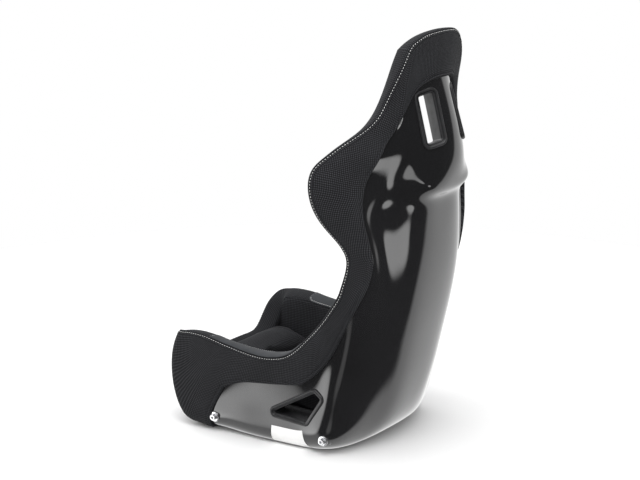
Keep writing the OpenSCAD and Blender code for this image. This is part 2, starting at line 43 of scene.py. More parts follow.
# ---------------------------------------------------------------- the moulding's surface, as in the CAD model, in millimetres
NET = np.array([
 [[0,-258,128],[70,-258,128],[128,-258,134],[172,-256,184],[202,-241,209],[208,-222,214],[210,-203,217],[211,-184,217]],
 [[0,-265,104],[70,-265,104],[130,-265,112],[176,-264,154],[203,-254,172],[208,-232,180],[210,-204,190],[212,-165,216]],
 [[0,-262,70],[70,-262,70],[132,-262,76],[178,-262,108],[204,-257,122],[208,-234,136],[210,-200,160],[213,-146,213]],
 [[0,-248,36],[70,-248,36],[134,-248,38],[178,-250,58],[203,-247,66],[208,-224,96],[211,-184,141],[213,-128,209]],
 [[0,-222,15],[70,-222,15],[136,-222,15],[178,-224,20],[203,-221,26],[207,-198,70],[211,-164,130],[214,-112,206]],
 [[0,-190,9],[72,-190,9],[142,-190,9],[186,-190,11],[204,-182,34],[207,-156,84],[211,-132,146],[214,-97,204]],
 [[0,-158,6],[76,-158,6],[150,-158,6],[198,-158,12],[205,-150,56],[206,-116,109],[211,-100,158],[214,-80,201]],
 [[0,-105,-2],[80,-105,-2],[165,-103,-2],[203,-100,24],[205,-88,78],[206,-70,130],[210,-56,163],[214,-44,196]],
 [[0,-40,-2],[85,-40,-2],[172,-38,-2],[203,-38,24],[205,-28,80],[206,-14,138],[210,-6,166],[215,2,194]],
 [[0,26,-2],[85,26,-2],[172,26,-2],[203,24,24],[205,32,82],[206,38,145],[211,44,174],[216,50,203]],
 [[0,84,-2],[85,83,-2],[170,72,-2],[203,66,23],[205,66,84],[206,68,149],[212,74,184],[217,80,219]],
 [[0,134,-2],[83,132,-2],[163,114,-2],[203,96,24],[205,92,90],[206,92,155],[213,98,198],[218,104,239]],
 [[0,178,8],[78,174,7],[154,150,4],[204,122,26],[205,114,101],[206,116,172],[214,121,219],[219,126,262]],
 [[0,208,27],[72,204,26],[140,181,19],[204,150,33],[205,138,114],[206,140,194],[214,144,242],[219,147,285]],
 [[0,231,62],[67,227,61],[122,207,55],[195,178,56],[205,160,138],[207,164,224],[214,166,270],[219,166,309]],
 [[0,249,112],[63,246,111],[109,229,107],[176,199,100],[202,182,174],[207,186,262],[213,186,302],[218,183,335]],
 [[0,265,168],[61,262,168],[104,248,165],[160,219,152],[198,205,219],[206,207,306],[211,204,337],[215,198,361]],
 [[0,281,236],[60,278,236],[102,265,232],[150,238,217],[189,228,269],[200,227,347],[206,216,369],[209,205,386]],
 [[0,297,308],[60,294,308],[102,282,304],[143,257,289],[177,247,325],[192,246,388],[199,229,402],[204,211,411]],
 [[0,309,380],[60,306,380],[102,295,376],[138,273,365],[169,261,385],[190,256,425],[197,236,432],[202,215,436]],
 [[0,315,440],[60,312,440],[104,300,436],[142,276,432],[169,263,440],[193,258,455],[202,237,459],[210,216,462]],
 [[0,317,490],[60,314,490],[106,300,486],[148,273,484],[176,259,484],[200,255,486],[217,233,490],[229,208,494]],
 [[0,317,530],[60,315,530],[106,299,528],[149,269,526],[182,253,522],[207,249,518],[234,224,522],[251,189,528]],
 [[0,320,560],[56,318,561],[98,304,565],[134,274,568],[178,250,560],[212,246,551],[246,214,558],[268,173,566]],
 [[0,335,577],[50,335,580],[86,331,592],[114,300,602],[156,264,600],[208,243,586],[250,206,596],[273,165,605]],
 [[0,343,600],[42,341,602],[76,331,612],[104,308,626],[136,277,632],[197,244,616],[242,208,628],[268,168,640]],
 [[0,350,634],[36,345,636],[70,327,643],[105,301,652],[126,284,657],[180,251,643],[222,221,654],[251,188,664]],
 [[0,349,670],[34,343,671],[68,324,675],[104,297,682],[120,285,684],[166,260,667],[200,235,676],[226,207,684]],
 [[0,341,712],[32,335,712],[66,314,713],[102,290,713],[115,281,712],[147,262,690],[174,247,698],[196,229,706]],
 [[0,327,764],[30,321,763],[62,303,758],[92,286,747],[108,278,736],[128,268,712],[150,258,721],[168,247,730]],
 [[0,312,816],[28,308,815],[56,298,808],[78,287,790],[97,280,764],[112,274,738],[131,266,747],[148,256,756]],
 [[0,308,845],[28,306,844],[54,300,838],[75,292,824],[94,284,801],[110,277,774],[124,270,778],[135,265,788]],
 [[0,306,868],[28,305,867],[52,301,862],[72,295,851],[90,288,833],[105,281,811],[116,277,812],[125,275,820]],
 [[0,305,888],[28,304,887],[50,302,883],[68,298,876],[84,293,864],[98,287,848],[108,284,847],[116,283,850]],
 [[0,305,905],[28,304,904],[48,302,902],[64,299,899],[78,296,894],[89,293,889],[97,290,883],[104,288,876]]
], float)
NR, NC = NET.shape[0] - 1, NET.shape[1] - 1
SHELL_T, COVER_T, LINER_T, ROLL_W = 4.0, 8.0, 12.0, 11.0
PAD = [34] * 12 + [34, 33, 31, 29, 27, 25, 24, 24, 24, 25, 26, 27, 28, 28, 28, 28, 28, 29, 30, 30, 30, 29, 28]


def extend(g):
    g = np.concatenate([g[:, 1:2] * np.array([-1, 1, 1]), g, 2 * g[:, -1:] - g[:, -2:-1], 2 * g[:, -1:] - g[:, -3:-2]], 1)
    return np.concatenate([2 * g[:1] - g[1:2], g, 2 * g[-1:] - g[-2:-1], 2 * g[-1:] - g[-3:-2]], 0)


def soften(g):
    e = extend(g)[: NR + 3, : NC + 3]
    r = (e[:-2] + 4 * e[1:-1] + e[2:]) / 6
    return (r[:, :-2] + 4 * r[:, 1:-1] + r[:, 2:]) / 6


_g = NET.copy()
for _ in range(2):
    _g = _g + (NET - soften(_g))
GRID = extend(_g)


def b0(t):
    return np.stack([(1 - t) ** 3, 3 * t**3 - 6 * t**2 + 4, -3 * t**3 + 3 * t**2 + 3 * t + 1, t**3], -1) / 6


def b1(t):
    return np.stack([-((1 - t) ** 2), 3 * t * t - 4 * t, -3 * t * t + 2 * t + 1, t * t], -1) / 2


def ev(u, v, du=False, dv=False):
    u, v = np.broadcast_arrays(np.asarray(u, float), np.asarray(v, float))
    i = np.minimum(np.floor(u), NR - 1).astype(int)
    j = np.minimum(np.floor(v), NC - 1).astype(int)
    a = (b1 if du else b0)(u - i)
    b = (b1 if dv else b0)(v - j)
    out = 0
    for k in range(4):
        for m in range(4):
            out = out + (a[..., k] * b[..., m])[..., None] * GRID[i + k, j + m]
    return out


def nrm(u, v):
    u, v = np.broadcast_arrays(np.asarray(u, float), np.abs(np.asarray(v, float)))
    a, b = np.clip(u, 0.15, NR - 0.15), np.minimum(v, NC - 0.15)
    n = np.cross(ev(a, b, True, False), ev(a, b, False, True))
    n /= np.linalg.norm(n, axis=-1, keepdims=True)
    return n


def pt(u, v, d=0.0):
    """Point d outside the moulding at (u, v); negative v is the right-hand side."""
    u, v, d = np.broadcast_arrays(np.asarray(u, float), np.asarray(v, float), np.asarray(d, float))
    w = np.abs(v)
    q = ev(u, w) + d[..., None] * nrm(u, w)
    q[..., 0] = np.where(w < 1e-3, 0, q[..., 0])
    q[..., 2] = np.maximum(q[..., 2], np.where(d < 0, -d, 0))
    q[..., 0] = np.where(v < 0, -q[..., 0], q[..., 0])
    return q


def snrm(u, v):
    n = nrm(u, v)
    n[..., 0] = np.where(np.asarray(v) < 0, -n[..., 0], n[..., 0])
    return n


def ramp(x):
    t = np.clip(x, 0, 1)
    return t * t * (3 - 2 * t)


def pad(u, v):
    u, v = np.broadcast_arrays(np.asarray(u, float), np.abs(np.asarray(v, float)))
    t = np.interp(u, np.arange(len(PAD)), PAD)
    base = LINER_T + 18 * ramp((u - 24.5) / 2)
    return np.where(u < 11, t, base + (t - base) * ramp((v - 2.4) / 2.2))


def lines(*spans):
    """Sorted unique list of parameter values."""
    out = []
    for s in spans:
        out += list(s)
    out = sorted(out)
    keep = [out[0]]
    for x in out[1:]:
        if x - keep[-1] > 0.004:
            keep.append(x)
    return np.array(keep)


NEAR = [0, 0.015, 0.035, 0.06, 0.09, 0.13, 0.18, 0.24, 0.31, 0.4]


# ---------------------------------------------------------------- meshes
def new_obj(name, verts, faces, material, nodes=(), smooth=True, sharp=None, scale=MM, recalc=True):
    me = bpy.data.meshes.new(name)
    me.from_pydata((np.asarray(verts, float) * scale).tolist(), [], [tuple(int(x) for x in f) for f in faces])
    me.validate()
    if recalc:
        bm = bmesh.new()
        bm.from_mesh(me)
        bmesh.ops.recalc_face_normals(bm, faces=bm.faces)
        bm.to_mesh(me)
        bm.free()
    ob = bpy.data.objects.new(name, me)
    SCENE.collection.objects.link(ob)
    finish_piece(ob, material, nodes, smooth, sharp)
    return ob


def finish_piece(ob, material, nodes=(), smooth=True, sharp=None):
    me = ob.data
    me.materials.clear()
    me.materials.append(material)
    me.polygons.foreach_set("use_smooth", [smooth] * len(me.polygons))
    if sharp:
        me.set_sharp_from_angle(angle=math.radians(sharp))
    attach(ob, "root")
    if nodes:
        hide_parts(*nodes)
    return ob


def set_weave(ob, st=None):
    """Weave coordinates in metres, as an attribute: given per point, or each face projected along its main direction."""
    me = ob.data
    if st is not None:
        at = me.attributes.new("weave", "FLOAT_VECTOR", "POINT")
        co = np.zeros((len(me.vertices), 3), np.float32)
        co[:, :2] = np.asarray(st, np.float32)[: len(me.vertices)] * MM
        at.data.foreach_set("vector", co.ravel())
        return ob
    at = me.attributes.get("weave") or me.attributes.new("weave", "FLOAT_VECTOR", "CORNER")
    n_l = len(me.loops)
    vi = np.zeros(n_l, np.int32)
    me.loops.foreach_get("vertex_index", vi)
    co = np.zeros(len(me.vertices) * 3, np.float32)
    me.vertices.foreach_get("co", co)
    co = co.reshape(-1, 3)[vi]
    nf = np.zeros(len(me.polygons) * 3, np.float32)
    me.polygons.foreach_get("normal", nf)
    nf = np.abs(nf.reshape(-1, 3))
    tot = np.zeros(len(me.polygons), np.int32)
    me.polygons.foreach_get("loop_total", tot)
    ax = np.repeat(np.argmax(nf * np.array([1.0, 1.0, 1.15]), 1), tot)
    out = np.zeros((n_l, 3), np.float32)
    for k, (a, b) in enumerate(((1, 2), (0, 2), (0, 1))):
        m = ax == k
        out[m, 0], out[m, 1] = co[m, a], co[m, b]
    at.data.foreach_set("vector", out.ravel())
    return ob


def grid_solid(us, vs, outer, inner, mask=None):
    """Closed solid between two point grids of n x m points; cells where mask is false are left out."""
    n, m = len(us), len(vs)
    mask = np.ones((n - 1, m - 1), bool) if mask is None else mask
    verts = np.concatenate([outer.reshape(-1, 3), inner.reshape(-1, 3)])
    A = np.arange(n * m).reshape(n, m)
    B = A + n * m
    faces = []
    for i in range(n - 1):
        for j in range(m - 1):
            if mask[i, j]:
                faces.append((A[i, j], A[i + 1, j], A[i + 1, j + 1], A[i, j + 1]))
                faces.append((B[i, j], B[i, j + 1], B[i + 1, j + 1], B[i + 1, j]))
    pm = np.zeros((n + 1, m + 1), bool)
    pm[1:-1, 1:-1] = mask
    for i in range(n):
        for j in range(m - 1):
            if pm[i, j + 1] != pm[i + 1, j + 1]:
                f = (A[i, j], A[i, j + 1], B[i, j + 1], B[i, j])
                faces.append(f if pm[i + 1, j + 1] else f[::-1])
    for i in range(n - 1):
        for j in range(m):
            if pm[i + 1, j] != pm[i + 1, j + 1]:
                f = (A[i, j], A[i + 1, j], B[i + 1, j], B[i, j])
                faces.append(f[::-1] if pm[i + 1, j + 1] else f)
    used = np.zeros(len(verts), bool)
    for f in faces:
        for k in f:
            used[k] = True
    new = np.cumsum(used) - 1
    return verts[used], [tuple(new[list(f)]) for f in faces], used


def edge_distance(points, border):
    kd = KDTree(len(border))
    for i, p in enumerate(border):
        kd.insert(p, i)
    kd.balance()
    flat = points.reshape(-1, 3)
    return np.array([kd.find(p)[2] for p in flat]).reshape(points.shape[:-1])


def dense(path, step=0.5):
    path = np.asarray(path, float)
    seg = np.linalg.norm(np.diff(path, axis=0), axis=1)
    s = np.concatenate([[0], np.cumsum(seg)])
    k = np.linspace(0, s[-1], max(2, int(s[-1] / step)))
    return np.stack([np.interp(k, s, path[:, a]) for a in range(3)], 1)


def arc(P, axis):
    d = np.linalg.norm(np.diff(P, axis=axis), axis=-1)
    pad_w = [(0, 0)] * d.ndim
    pad_w[axis] = (1, 0)
    return np.pad(np.cumsum(d, axis=axis), pad_w)


def st_of(us, vs, mid=6.0):
    """Weave coordinates over a (u, v) grid: along the length at line mid, and across."""
    along = arc(pt(us, np.full(len(us), mid)), 0)
    P = pt(us[:, None], vs[None, :])
    across = arc(P, 1)
    z = np.argmin(np.abs(vs - 0)) if vs[0] < 0 < vs[-1] else len(vs) - 1
    across = across - across[:, z : z + 1]
    return np.stack([np.broadcast_to(along[:, None], across.shape), across], -1).reshape(-1, 2)


def smooth_noise(p, scale, seed=0.0):
    """Cheap smooth pseudo noise in -1..1 from sums of sines, the same on every run."""
    p = np.asarray(p, float) / scale
    a = np.sin(p[..., 0] * 1.7 + 1.3 * np.sin(p[..., 1] * 1.1 + seed) + seed)
    b = np.sin(p[..., 1] * 1.9 + 1.1 * np.sin(p[..., 2] * 1.3 + 2 * seed) + 2.1)
    c = np.sin(p[..., 2] * 1.5 + 1.2 * np.sin(p[..., 0] * 1.2 + 3 * seed) + 4.2)
    return (a + b + c) / 3


# ---------------------------------------------------------------- materials
def node_mat(name):
    mat = bpy.data.materials.new(name)
    mat.use_nodes = True
    nt = mat.node_tree
    for n in list(nt.nodes):
        nt.nodes.remove(n)
    out = nt.nodes.new("ShaderNodeOutputMaterial")
    bsdf = nt.nodes.new("ShaderNodeBsdfPrincipled")
    nt.links.new(bsdf.outputs[0], out.inputs[0])
    return mat, nt, bsdf


def add(nt, kind, **inputs):
    n = nt.nodes.new(kind)
    for k, v in inputs.items():
        if k.startswith("_"):
            setattr(n, k[1:], v)
        else:
            key = int(k[1:]) if k[0] == "i" and k[1:].isdigit() else k.replace("__", " ")
            if hasattr(v, "is_linked") or isinstance(v, bpy.types.NodeSocket):
                nt.links.new(v, n.inputs[key])
            else:
                n.inputs[key].default_value = v
    return n


def math_node(nt, op, a, b=None, clamp=False):
    n = nt.nodes.new("ShaderNodeMath")
    n.operation = op
    n.use_clamp = clamp
    for i, x in enumerate((a, b)):
        if x is None:
            continue
        if isinstance(x, bpy.types.NodeSocket):
            nt.links.new(x, n.inputs[i])
        else:
            n.inputs[i].default_value = x
    return n.outputs[0]


def ramp_node(nt, fac, stops):
    n = nt.nodes.new("ShaderNodeValToRGB")
    cr = n.color_ramp
    while len(cr.elements) < len(stops):
        cr.elements.new(0.5)
    for e, (p, c) in zip(cr.elements, stops):
        e.position = p
        e.color = (c[0], c[1], c[2], 1) if len(c) == 3 else c
    nt.links.new(fac, n.inputs[0])
    return n


def noise(nt, vec, scale, detail=3, rough=0.55):
    n = nt.nodes.new("ShaderNodeTexNoise")
    n.inputs["Scale"].default_value = scale
    n.inputs["Detail"].default_value = detail
    n.inputs["Roughness"].default_value = rough
    nt.links.new(vec, n.inputs["Vector"])
    return n.outputs["Fac"]


def fabric(name, dark, light, pitch=0.0034, bump=0.5, sheen=0.25, rough=0.92, fuzz=0.12):
    """Diamond knit: colour follows the knit height, the knit's own pattern plus painted shade darkening the low hollows
    between the raised loops; fibre fuzz, and slow colour variation.
    """
    mat, nt, b = node_mat(name)
    at = add(nt, "ShaderNodeAttribute", _attribute_name="weave", _attribute_type="GEOMETRY").outputs["Vector"]
    co = nt.nodes.new("ShaderNodeTexCoord").outputs["Object"]
    warp = add(nt, "ShaderNodeVectorMath", _operation="SCALE", i0=add(nt, "ShaderNodeVectorMath", _operation="SUBTRACT",
               i0=add(nt, "ShaderNodeTexNoise", Vector=co, Scale=22.0, Detail=1.0).outputs["Color"], i1=(0.5, 0.5, 0.5)).outputs[0])
    warp.inputs["Scale"].default_value = pitch * 0.9
    at2 = add(nt, "ShaderNodeVectorMath", _operation="ADD", i0=at, i1=warp.outputs[0]).outputs[0]
    sep = add(nt, "ShaderNodeSeparateXYZ", i0=at2)
    k = math.pi / pitch
    s = math_node(nt, "MULTIPLY", sep.outputs[0], k)
    t = math_node(nt, "MULTIPLY", sep.outputs[1], k)
    a = math_node(nt, "SINE", math_node(nt, "ADD", s, t))
    c = math_node(nt, "SINE", math_node(nt, "SUBTRACT", s, t))
    cell = math_node(nt, "MULTIPLY", a, c)
    cell = math_node(nt, "ADD", math_node(nt, "MULTIPLY", cell, 0.5), 0.5)
    rib = math_node(nt, "ABSOLUTE", math_node(nt, "SINE", math_node(nt, "MULTIPLY", s, 3.0)))
    fine = noise(nt, co, 1500, 2)
    slow = noise(nt, co, 9, 3)
    h = math_node(nt, "ADD", math_node(nt, "MULTIPLY", cell, 0.72), math_node(nt, "MULTIPLY", rib, 0.12))
    h = math_node(nt, "ADD", h, math_node(nt, "MULTIPLY", fine, fuzz))
    # colour ramp on the knit height: the low hollows take the near-black first colour, painted shade in the holes on
    # top of the knit's own pattern
    col = ramp_node(nt, h, [(0.12, dark), (0.5, [x * 0.83 + y * 0.17 for x, y in zip(dark, light)]), (0.92, light)])
    vary = add(nt, "ShaderNodeMix", _data_type="RGBA", _blend_type="MULTIPLY")
    vary.inputs[0].default_value = 1.0
    nt.links.new(col.outputs[0], vary.inputs[6])
    tint = ramp_node(nt, slow, [(0.3, (0.78, 0.78, 0.8)), (0.7, (1.12, 1.12, 1.14))])
    nt.links.new(tint.outputs[0], vary.inputs[7])
    nt.links.new(vary.outputs[2], b.inputs["Base Color"])
    bp = nt.nodes.new("ShaderNodeBump")
    bp.inputs["Strength"].default_value = bump
    bp.inputs["Distance"].default_value = 0.0006
    nt.links.new(h, bp.inputs["Height"])
    big = nt.nodes.new("ShaderNodeBump")
    big.inputs["Strength"].default_value = 0.25
    big.inputs["Distance"].default_value = 0.002
    nt.links.new(noise(nt, co, 30, 3), big.inputs["Height"])
    nt.links.new(big.outputs[0], bp.inputs["Normal"])
    nt.links.new(bp.outputs[0], b.inputs["Normal"])
    b.inputs["Roughness"].default_value = rough
    b.inputs["Sheen Weight"].default_value = sheen
    b.inputs["Sheen Roughness"].default_value = 0.45
    b.inputs["Sheen Tint"].default_value = (0.75, 0.78, 0.82, 1)
    b.inputs["Specular IOR Level"].default_value = 0.25
    return mat


def gelcoat():
    """Gloss black gelcoat: slow mould waviness, faint orange peel, light dust and polish marks in the roughness."""
    mat, nt, b = node_mat("gelcoat_black")
    co = nt.nodes.new("ShaderNodeTexCoord").outputs["Object"]
    b.inputs["Base Color"].default_value = (0.006, 0.006, 0.007, 1)
    tone = ramp_node(nt, noise(nt, co, 4, 2), [(0.3, (0.0045, 0.0045, 0.005)), (0.75, (0.009, 0.009, 0.01))])
    nt.links.new(tone.outputs[0], b.inputs["Base Color"])
    r = ramp_node(nt, noise(nt, co, 28, 5, 0.65), [(0.35, (0.05,) * 3), (0.62, (0.085,) * 3), (0.8, (0.16,) * 3)])
    nt.links.new(r.outputs[0], b.inputs["Roughness"])
    b1_ = nt.nodes.new("ShaderNodeBump")
    b1_.inputs["Strength"].default_value = 1.0
    b1_.inputs["Distance"].default_value = 0.0016
    nt.links.new(noise(nt, co, 7.0, 1, 0.4), b1_.inputs["Height"])
    b2_ = nt.nodes.new("ShaderNodeBump")
    b2_.inputs["Strength"].default_value = 0.05
    b2_.inputs["Distance"].default_value = 0.0004
    nt.links.new(noise(nt, co, 260, 2), b2_.inputs["Height"])
    nt.links.new(b1_.outputs[0], b2_.inputs["Normal"])
    nt.links.new(b2_.outputs[0], b.inputs["Normal"])
    b.inputs["Coat Weight"].default_value = 0.6
    b.inputs["Coat Roughness"].default_value = 0.03
    b.inputs["IOR"].default_value = 1.52
    return mat


def leatherette():
    mat, nt, b = node_mat("leatherette_grey")
    co = nt.nodes.new("ShaderNodeTexCoord").outputs["Object"]
    v = nt.nodes.new("ShaderNodeTexVoronoi")
    v.inputs["Scale"].default_value = 620
    nt.links.new(co, v.inputs["Vector"])
    n = noise(nt, co, 14, 4)
    col = ramp_node(nt, n, [(0.3, (0.024, 0.026, 0.029)), (0.7, (0.038, 0.041, 0.046))])
    b.inputs["Specular IOR Level"].default_value = 0.3
    nt.links.new(col.outputs[0], b.inputs["Base Color"])
    rr = ramp_node(nt, noise(nt, co, 40, 3), [(0.3, (0.66,) * 3), (0.75, (0.8,) * 3)])
    nt.links.new(rr.outputs[0], b.inputs["Roughness"])
    bp = nt.nodes.new("ShaderNodeBump")
    bp.inputs["Strength"].default_value = 0.35
    bp.inputs["Distance"].default_value = 0.0003
    nt.links.new(v.outputs["Distance"], bp.inputs["Height"])
    nt.links.new(bp.outputs[0], b.inputs["Normal"])
    return mat


def moulded_plastic():
    mat, nt, b = node_mat("moulded_black_plastic")
    co = nt.nodes.new("ShaderNodeTexCoord").outputs["Object"]
    col = ramp_node(nt, noise(nt, co, 35, 4), [(0.3, (0.011, 0.011, 0.012)), (0.75, (0.02, 0.02, 0.022))])
    nt.links.new(col.outputs[0], b.inputs["Base Color"])
    rr = ramp_node(nt, noise(nt, co, 60, 3), [(0.3, (0.34,) * 3), (0.75, (0.5,) * 3)])
    nt.links.new(rr.outputs[0], b.inputs["Roughness"])
    bp = nt.nodes.new("ShaderNodeBump")
    bp.inputs["Strength"].default_value = 0.25
    bp.inputs["Distance"].default_value = 0.0002
    nt.links.new(noise(nt, co, 1400, 2), bp.inputs["Height"])
    nt.links.new(bp.outputs[0], b.inputs["Normal"])
    return mat


def metal(name, base, rough, streak):
    mat, nt, b = node_mat(name)
    co = nt.nodes.new("ShaderNodeTexCoord").outputs["Object"]
    mp = nt.nodes.new("ShaderNodeMapping")
    mp.inputs["Scale"].default_value = (1, streak, 1)
    nt.links.new(co, mp.inputs[0])
    n = noise(nt, mp.outputs[0], 300, 4)
    col = ramp_node(nt, n, [(0.25, [x * 0.82 for x in base]), (0.75, base)])
    nt.links.new(col.outputs[0], b.inputs["Base Color"])
    rr = ramp_node(nt, noise(nt, co, 120, 3), [(0.3, (rough * 0.8,) * 3), (0.75, (rough * 1.3,) * 3)])
    nt.links.new(rr.outputs[0], b.inputs["Roughness"])
    bp = nt.nodes.new("ShaderNodeBump")
    bp.inputs["Strength"].default_value = 0.15
    bp.inputs["Distance"].default_value = 0.0001
    nt.links.new(n, bp.inputs["Height"])
    nt.links.new(bp.outputs[0], b.inputs["Normal"])
    b.inputs["Metallic"].default_value = 1.0
    return mat


def plain_noise(name, lo, hi, rough, scale, bump=0.2, dist=0.0003):
    mat, nt, b = node_mat(name)
    co = nt.nodes.new("ShaderNodeTexCoord").outputs["Object"]
    n = noise(nt, co, scale, 4)
    col = ramp_node(nt, n, [(0.3, lo), (0.7, hi)])
    nt.links.new(col.outputs[0], b.inputs["Base Color"])
    b.inputs["Roughness"].default_value = rough
    bp = nt.nodes.new("ShaderNodeBump")
    bp.inputs["Strength"].default_value = bump
    bp.inputs["Distance"].default_value = dist
    nt.links.new(n, bp.inputs["Height"])
    nt.links.new(bp.outputs[0], b.inputs["Normal"])
    return mat


M_GEL = gelcoat()
# first colour of each knit: near black for the hollows, painted shade in the holes; second colour: the raised loops
M_COVER = fabric("cover_fabric", (0.002, 0.002, 0.0024), (0.052, 0.053, 0.058), 0.0044, 1.0, 0.02)
M_ROLL = fabric("rim_fabric", (0.002, 0.002, 0.0024), (0.048, 0.049, 0.054), 0.0042, 1.0, 0.02)
M_PAD = fabric("pad_fabric", (0.003, 0.003, 0.0035), (0.046, 0.047, 0.052), 0.0042, 1.0, 0.02)
M_CUSH = fabric("cushion_fabric", (0.003, 0.003, 0.0035), (0.046, 0.047, 0.052), 0.0038, 1.0, 0.02)
M_LEATHER = leatherette()
M_PLASTIC = moulded_plastic()
M_ZINC = metal("zinc_plated_steel", (0.78, 0.78, 0.8), 0.24, 1)
M_PLATE = metal("rolled_steel_plate", (0.5, 0.5, 0.51), 0.4, 12)
M_FOAM = plain_noise("open_cell_foam", (0.012, 0.012, 0.013), (0.035, 0.035, 0.037), 0.95, 900, 0.8, 0.0006)
M_LABEL = plain_noise("blank_label_film", (0.82, 0.82, 0.81), (0.88, 0.88, 0.87), 0.45, 30, 0.1)
M_THREAD = plain_noise("white_thread", (0.68, 0.68, 0.66), (0.85, 0.85, 0.83), 0.7, 2500, 0.5)

# ---------------------------------------------------------------- shell
US = np.linspace(0, NR, NR * 6 + 1)
VS = np.linspace(-NC, NC, 2 * NC * 8 + 1)


def convex_outline(pts, inset, r, arc_n=7):
    """Points of a convex outline drawn in by inset, and the outward direction at each, for callers to round it out by a
    radius; r is not used.
    """
    pts = np.asarray(pts, float)
    c = pts.mean(0)
    if sum((b[0] - a[0]) * (b[1] + a[1]) for a, b in zip(pts, np.roll(pts, -1, 0))) > 0:
        pts = pts[::-1]
    n = len(pts)
    nor = []
    for a, b in zip(pts, np.roll(pts, -1, 0)):
        e = (b - a) / np.linalg.norm(b - a)
        nor.append(np.array([e[1], -e[0]]))
    off = [nor[k] @ pts[k] - inset for k in range(n)]
    base, dirs = [], []
    for k in range(n):
        p, q = (k - 1) % n, k
        corner = np.linalg.solve(np.array([nor[p], nor[q]]), np.array([off[p], off[q]]))
        a0 = math.atan2(nor[p][1], nor[p][0])
        a1 = math.atan2(nor[q][1], nor[q][0])
        while a1 < a0:
            a1 += 2 * math.pi
        for t in np.linspace(a0, a1, arc_n):
            base.append(corner)
            dirs.append([math.cos(t), math.sin(t)])
    base, dirs = np.array(base), np.array(dirs)
    return base, dirs


def subdivide_outline(base, dirs, r, step=5.0):
    """The outline at radius r as pairs (base, dir), with extra points along the straight stretches."""
    b2, d2 = [], []
    n = len(base)
    for k in range(n):
        p0, p1 = base[k] + r * dirs[k], base[(k + 1) % n] + r * dirs[(k + 1) % n]
        b2.append(base[k])
        d2.append(dirs[k])
        if np.allclose(dirs[k], dirs[(k + 1) % n], atol=1e-6):
            m = int(np.linalg.norm(p1 - p0) // step)
            for j in range(1, m):
                t = j / m
                b2.append(base[k] * (1 - t) + base[(k + 1) % n] * t)
                d2.append(dirs[k])
    return np.array(b2), np.array(d2)


def swept_ring(name, outline, profile, to3, material, nodes, sharp=40):
    """Closed ring: the profile of (distance out, height) swept round an outline."""
    base, dirs = outline
    n, k = len(base), len(profile)
    verts = []
    for r, z in profile:
        xy = base + dirs * r
        verts.append(to3(xy, z))
    verts = np.concatenate(verts)
    faces = []
    for a in range(k):
        b = (a + 1) % k
        for i in range(n):
            j = (i + 1) % n
            faces.append((a * n + i, a * n + j, b * n + j, b * n + i))
    return new_obj(name, verts, faces, material, nodes, sharp=sharp)


SLOT_C = np.array([55.5, 313.0, 735.0])
SLOT_X = np.array([-0.837, 0.486, 0.251])
SLOT_Y = np.array([0.078, -0.348, 0.933])
SLOT_N = np.array([0.541, 0.801, 0.254])
SLOT_PTS = [[-20, 62], [38, 62], [20, -63], [-38, -61]]
LAP_PTS = [[8, 66], [104, 60], [148, 128], [122, 148], [8, 84]]


def slot3(xy, z, s=1):
    p = SLOT_C + xy[:, :1] * SLOT_X + xy[:, 1:] * SLOT_Y + z * SLOT_N
    p[:, 0] *= s
    return p


def lap3(xy, z, s=1):
    return np.stack([np.full(len(xy), s * float(z)), xy[:, 0], xy[:, 1]], 1)


def prism(name, outline, r, z0, z1, to3):
    base, dirs = outline
    xy = base + dirs * r
    keep = [0]
    for i in range(1, len(xy)):
        if np.linalg.norm(xy[i] - xy[keep[-1]]) > 0.05 and np.linalg.norm(xy[i] - xy[0]) > 0.05:
            keep.append(i)
    xy = xy[keep]
    n = len(xy)
    verts = np.concatenate([to3(xy, z0), to3(xy, z1)])
    faces = [tuple(range(n)), tuple(range(2 * n - 1, n - 1, -1))] + [(i, i + n, (i + 1) % n + n, (i + 1) % n) for i in range(n)]
    me = bpy.data.meshes.new(name)
    me.from_pydata((verts * MM).tolist(), [], faces)
    bm = bmesh.new()
    bm.from_mesh(me)
    bmesh.ops.recalc_face_normals(bm, faces=bm.faces)
    bm.to_mesh(me)
    bm.free()
    ob = bpy.data.objects.new(name, me)
    SCENE.collection.objects.link(ob)
    return ob


def cut(ob, cutters):
    bpy.context.view_layer.objects.active = ob
    for c in cutters:
        m = ob.modifiers.new("cut", "BOOLEAN")
        m.operation = "DIFFERENCE"
        m.solver = "MANIFOLD"
        m.object = c
    dg = bpy.context.evaluated_depsgraph_get()
    ev_ob = ob.evaluated_get(dg)
    me = bpy.data.meshes.new_from_object(ev_ob)
    old = ob.data
    ob.modifiers.clear()
    ob.data = me
    bpy.data.meshes.remove(old)
    for c in cutters:
        bpy.data.objects.remove(c)
    return ob


def slot_cutters(r, z0, z1):
    o = convex_outline(SLOT_PTS, 16, r)
    return [prism("cut_a", o, r + 4, z0, z1, lambda xy, z: slot3(xy, z, 1)), prism("cut_b", o, r + 4, z0, z1, lambda xy, z: slot3(xy, z, -1))]


def lap_cutters(r, x0, x1):
    o = convex_outline(LAP_PTS, 12, r)
    return [prism("cut_c", o, r + 4, x0, x1, lambda xy, z: lap3(xy, z, 1)), prism("cut_d", o, r + 4, x0, x1, lambda xy, z: lap3(xy, z, -1))]


def oval(w, l, n=32):
    """Outline of a slot with round ends: the middle line, and outward directions."""
    base, dirs = [], []
    h = (l - w) / 2
    for c, a0 in ((h, -math.pi / 2), (-h, math.pi / 2)):
        for t in np.linspace(a0, a0 + math.pi, n // 2):
            base.append([c, -70.0])
            dirs.append([math.cos(t), math.sin(t)])
    return np.array(base), np.array(dirs)


def crotch_cutter(r, z0, z1):
    return prism("cut_e", oval(30, 76), 15 + r, z0, z1, lambda xy, z: np.stack([xy[:, 0], xy[:, 1], np.full(len(xy), float(z))], 1))


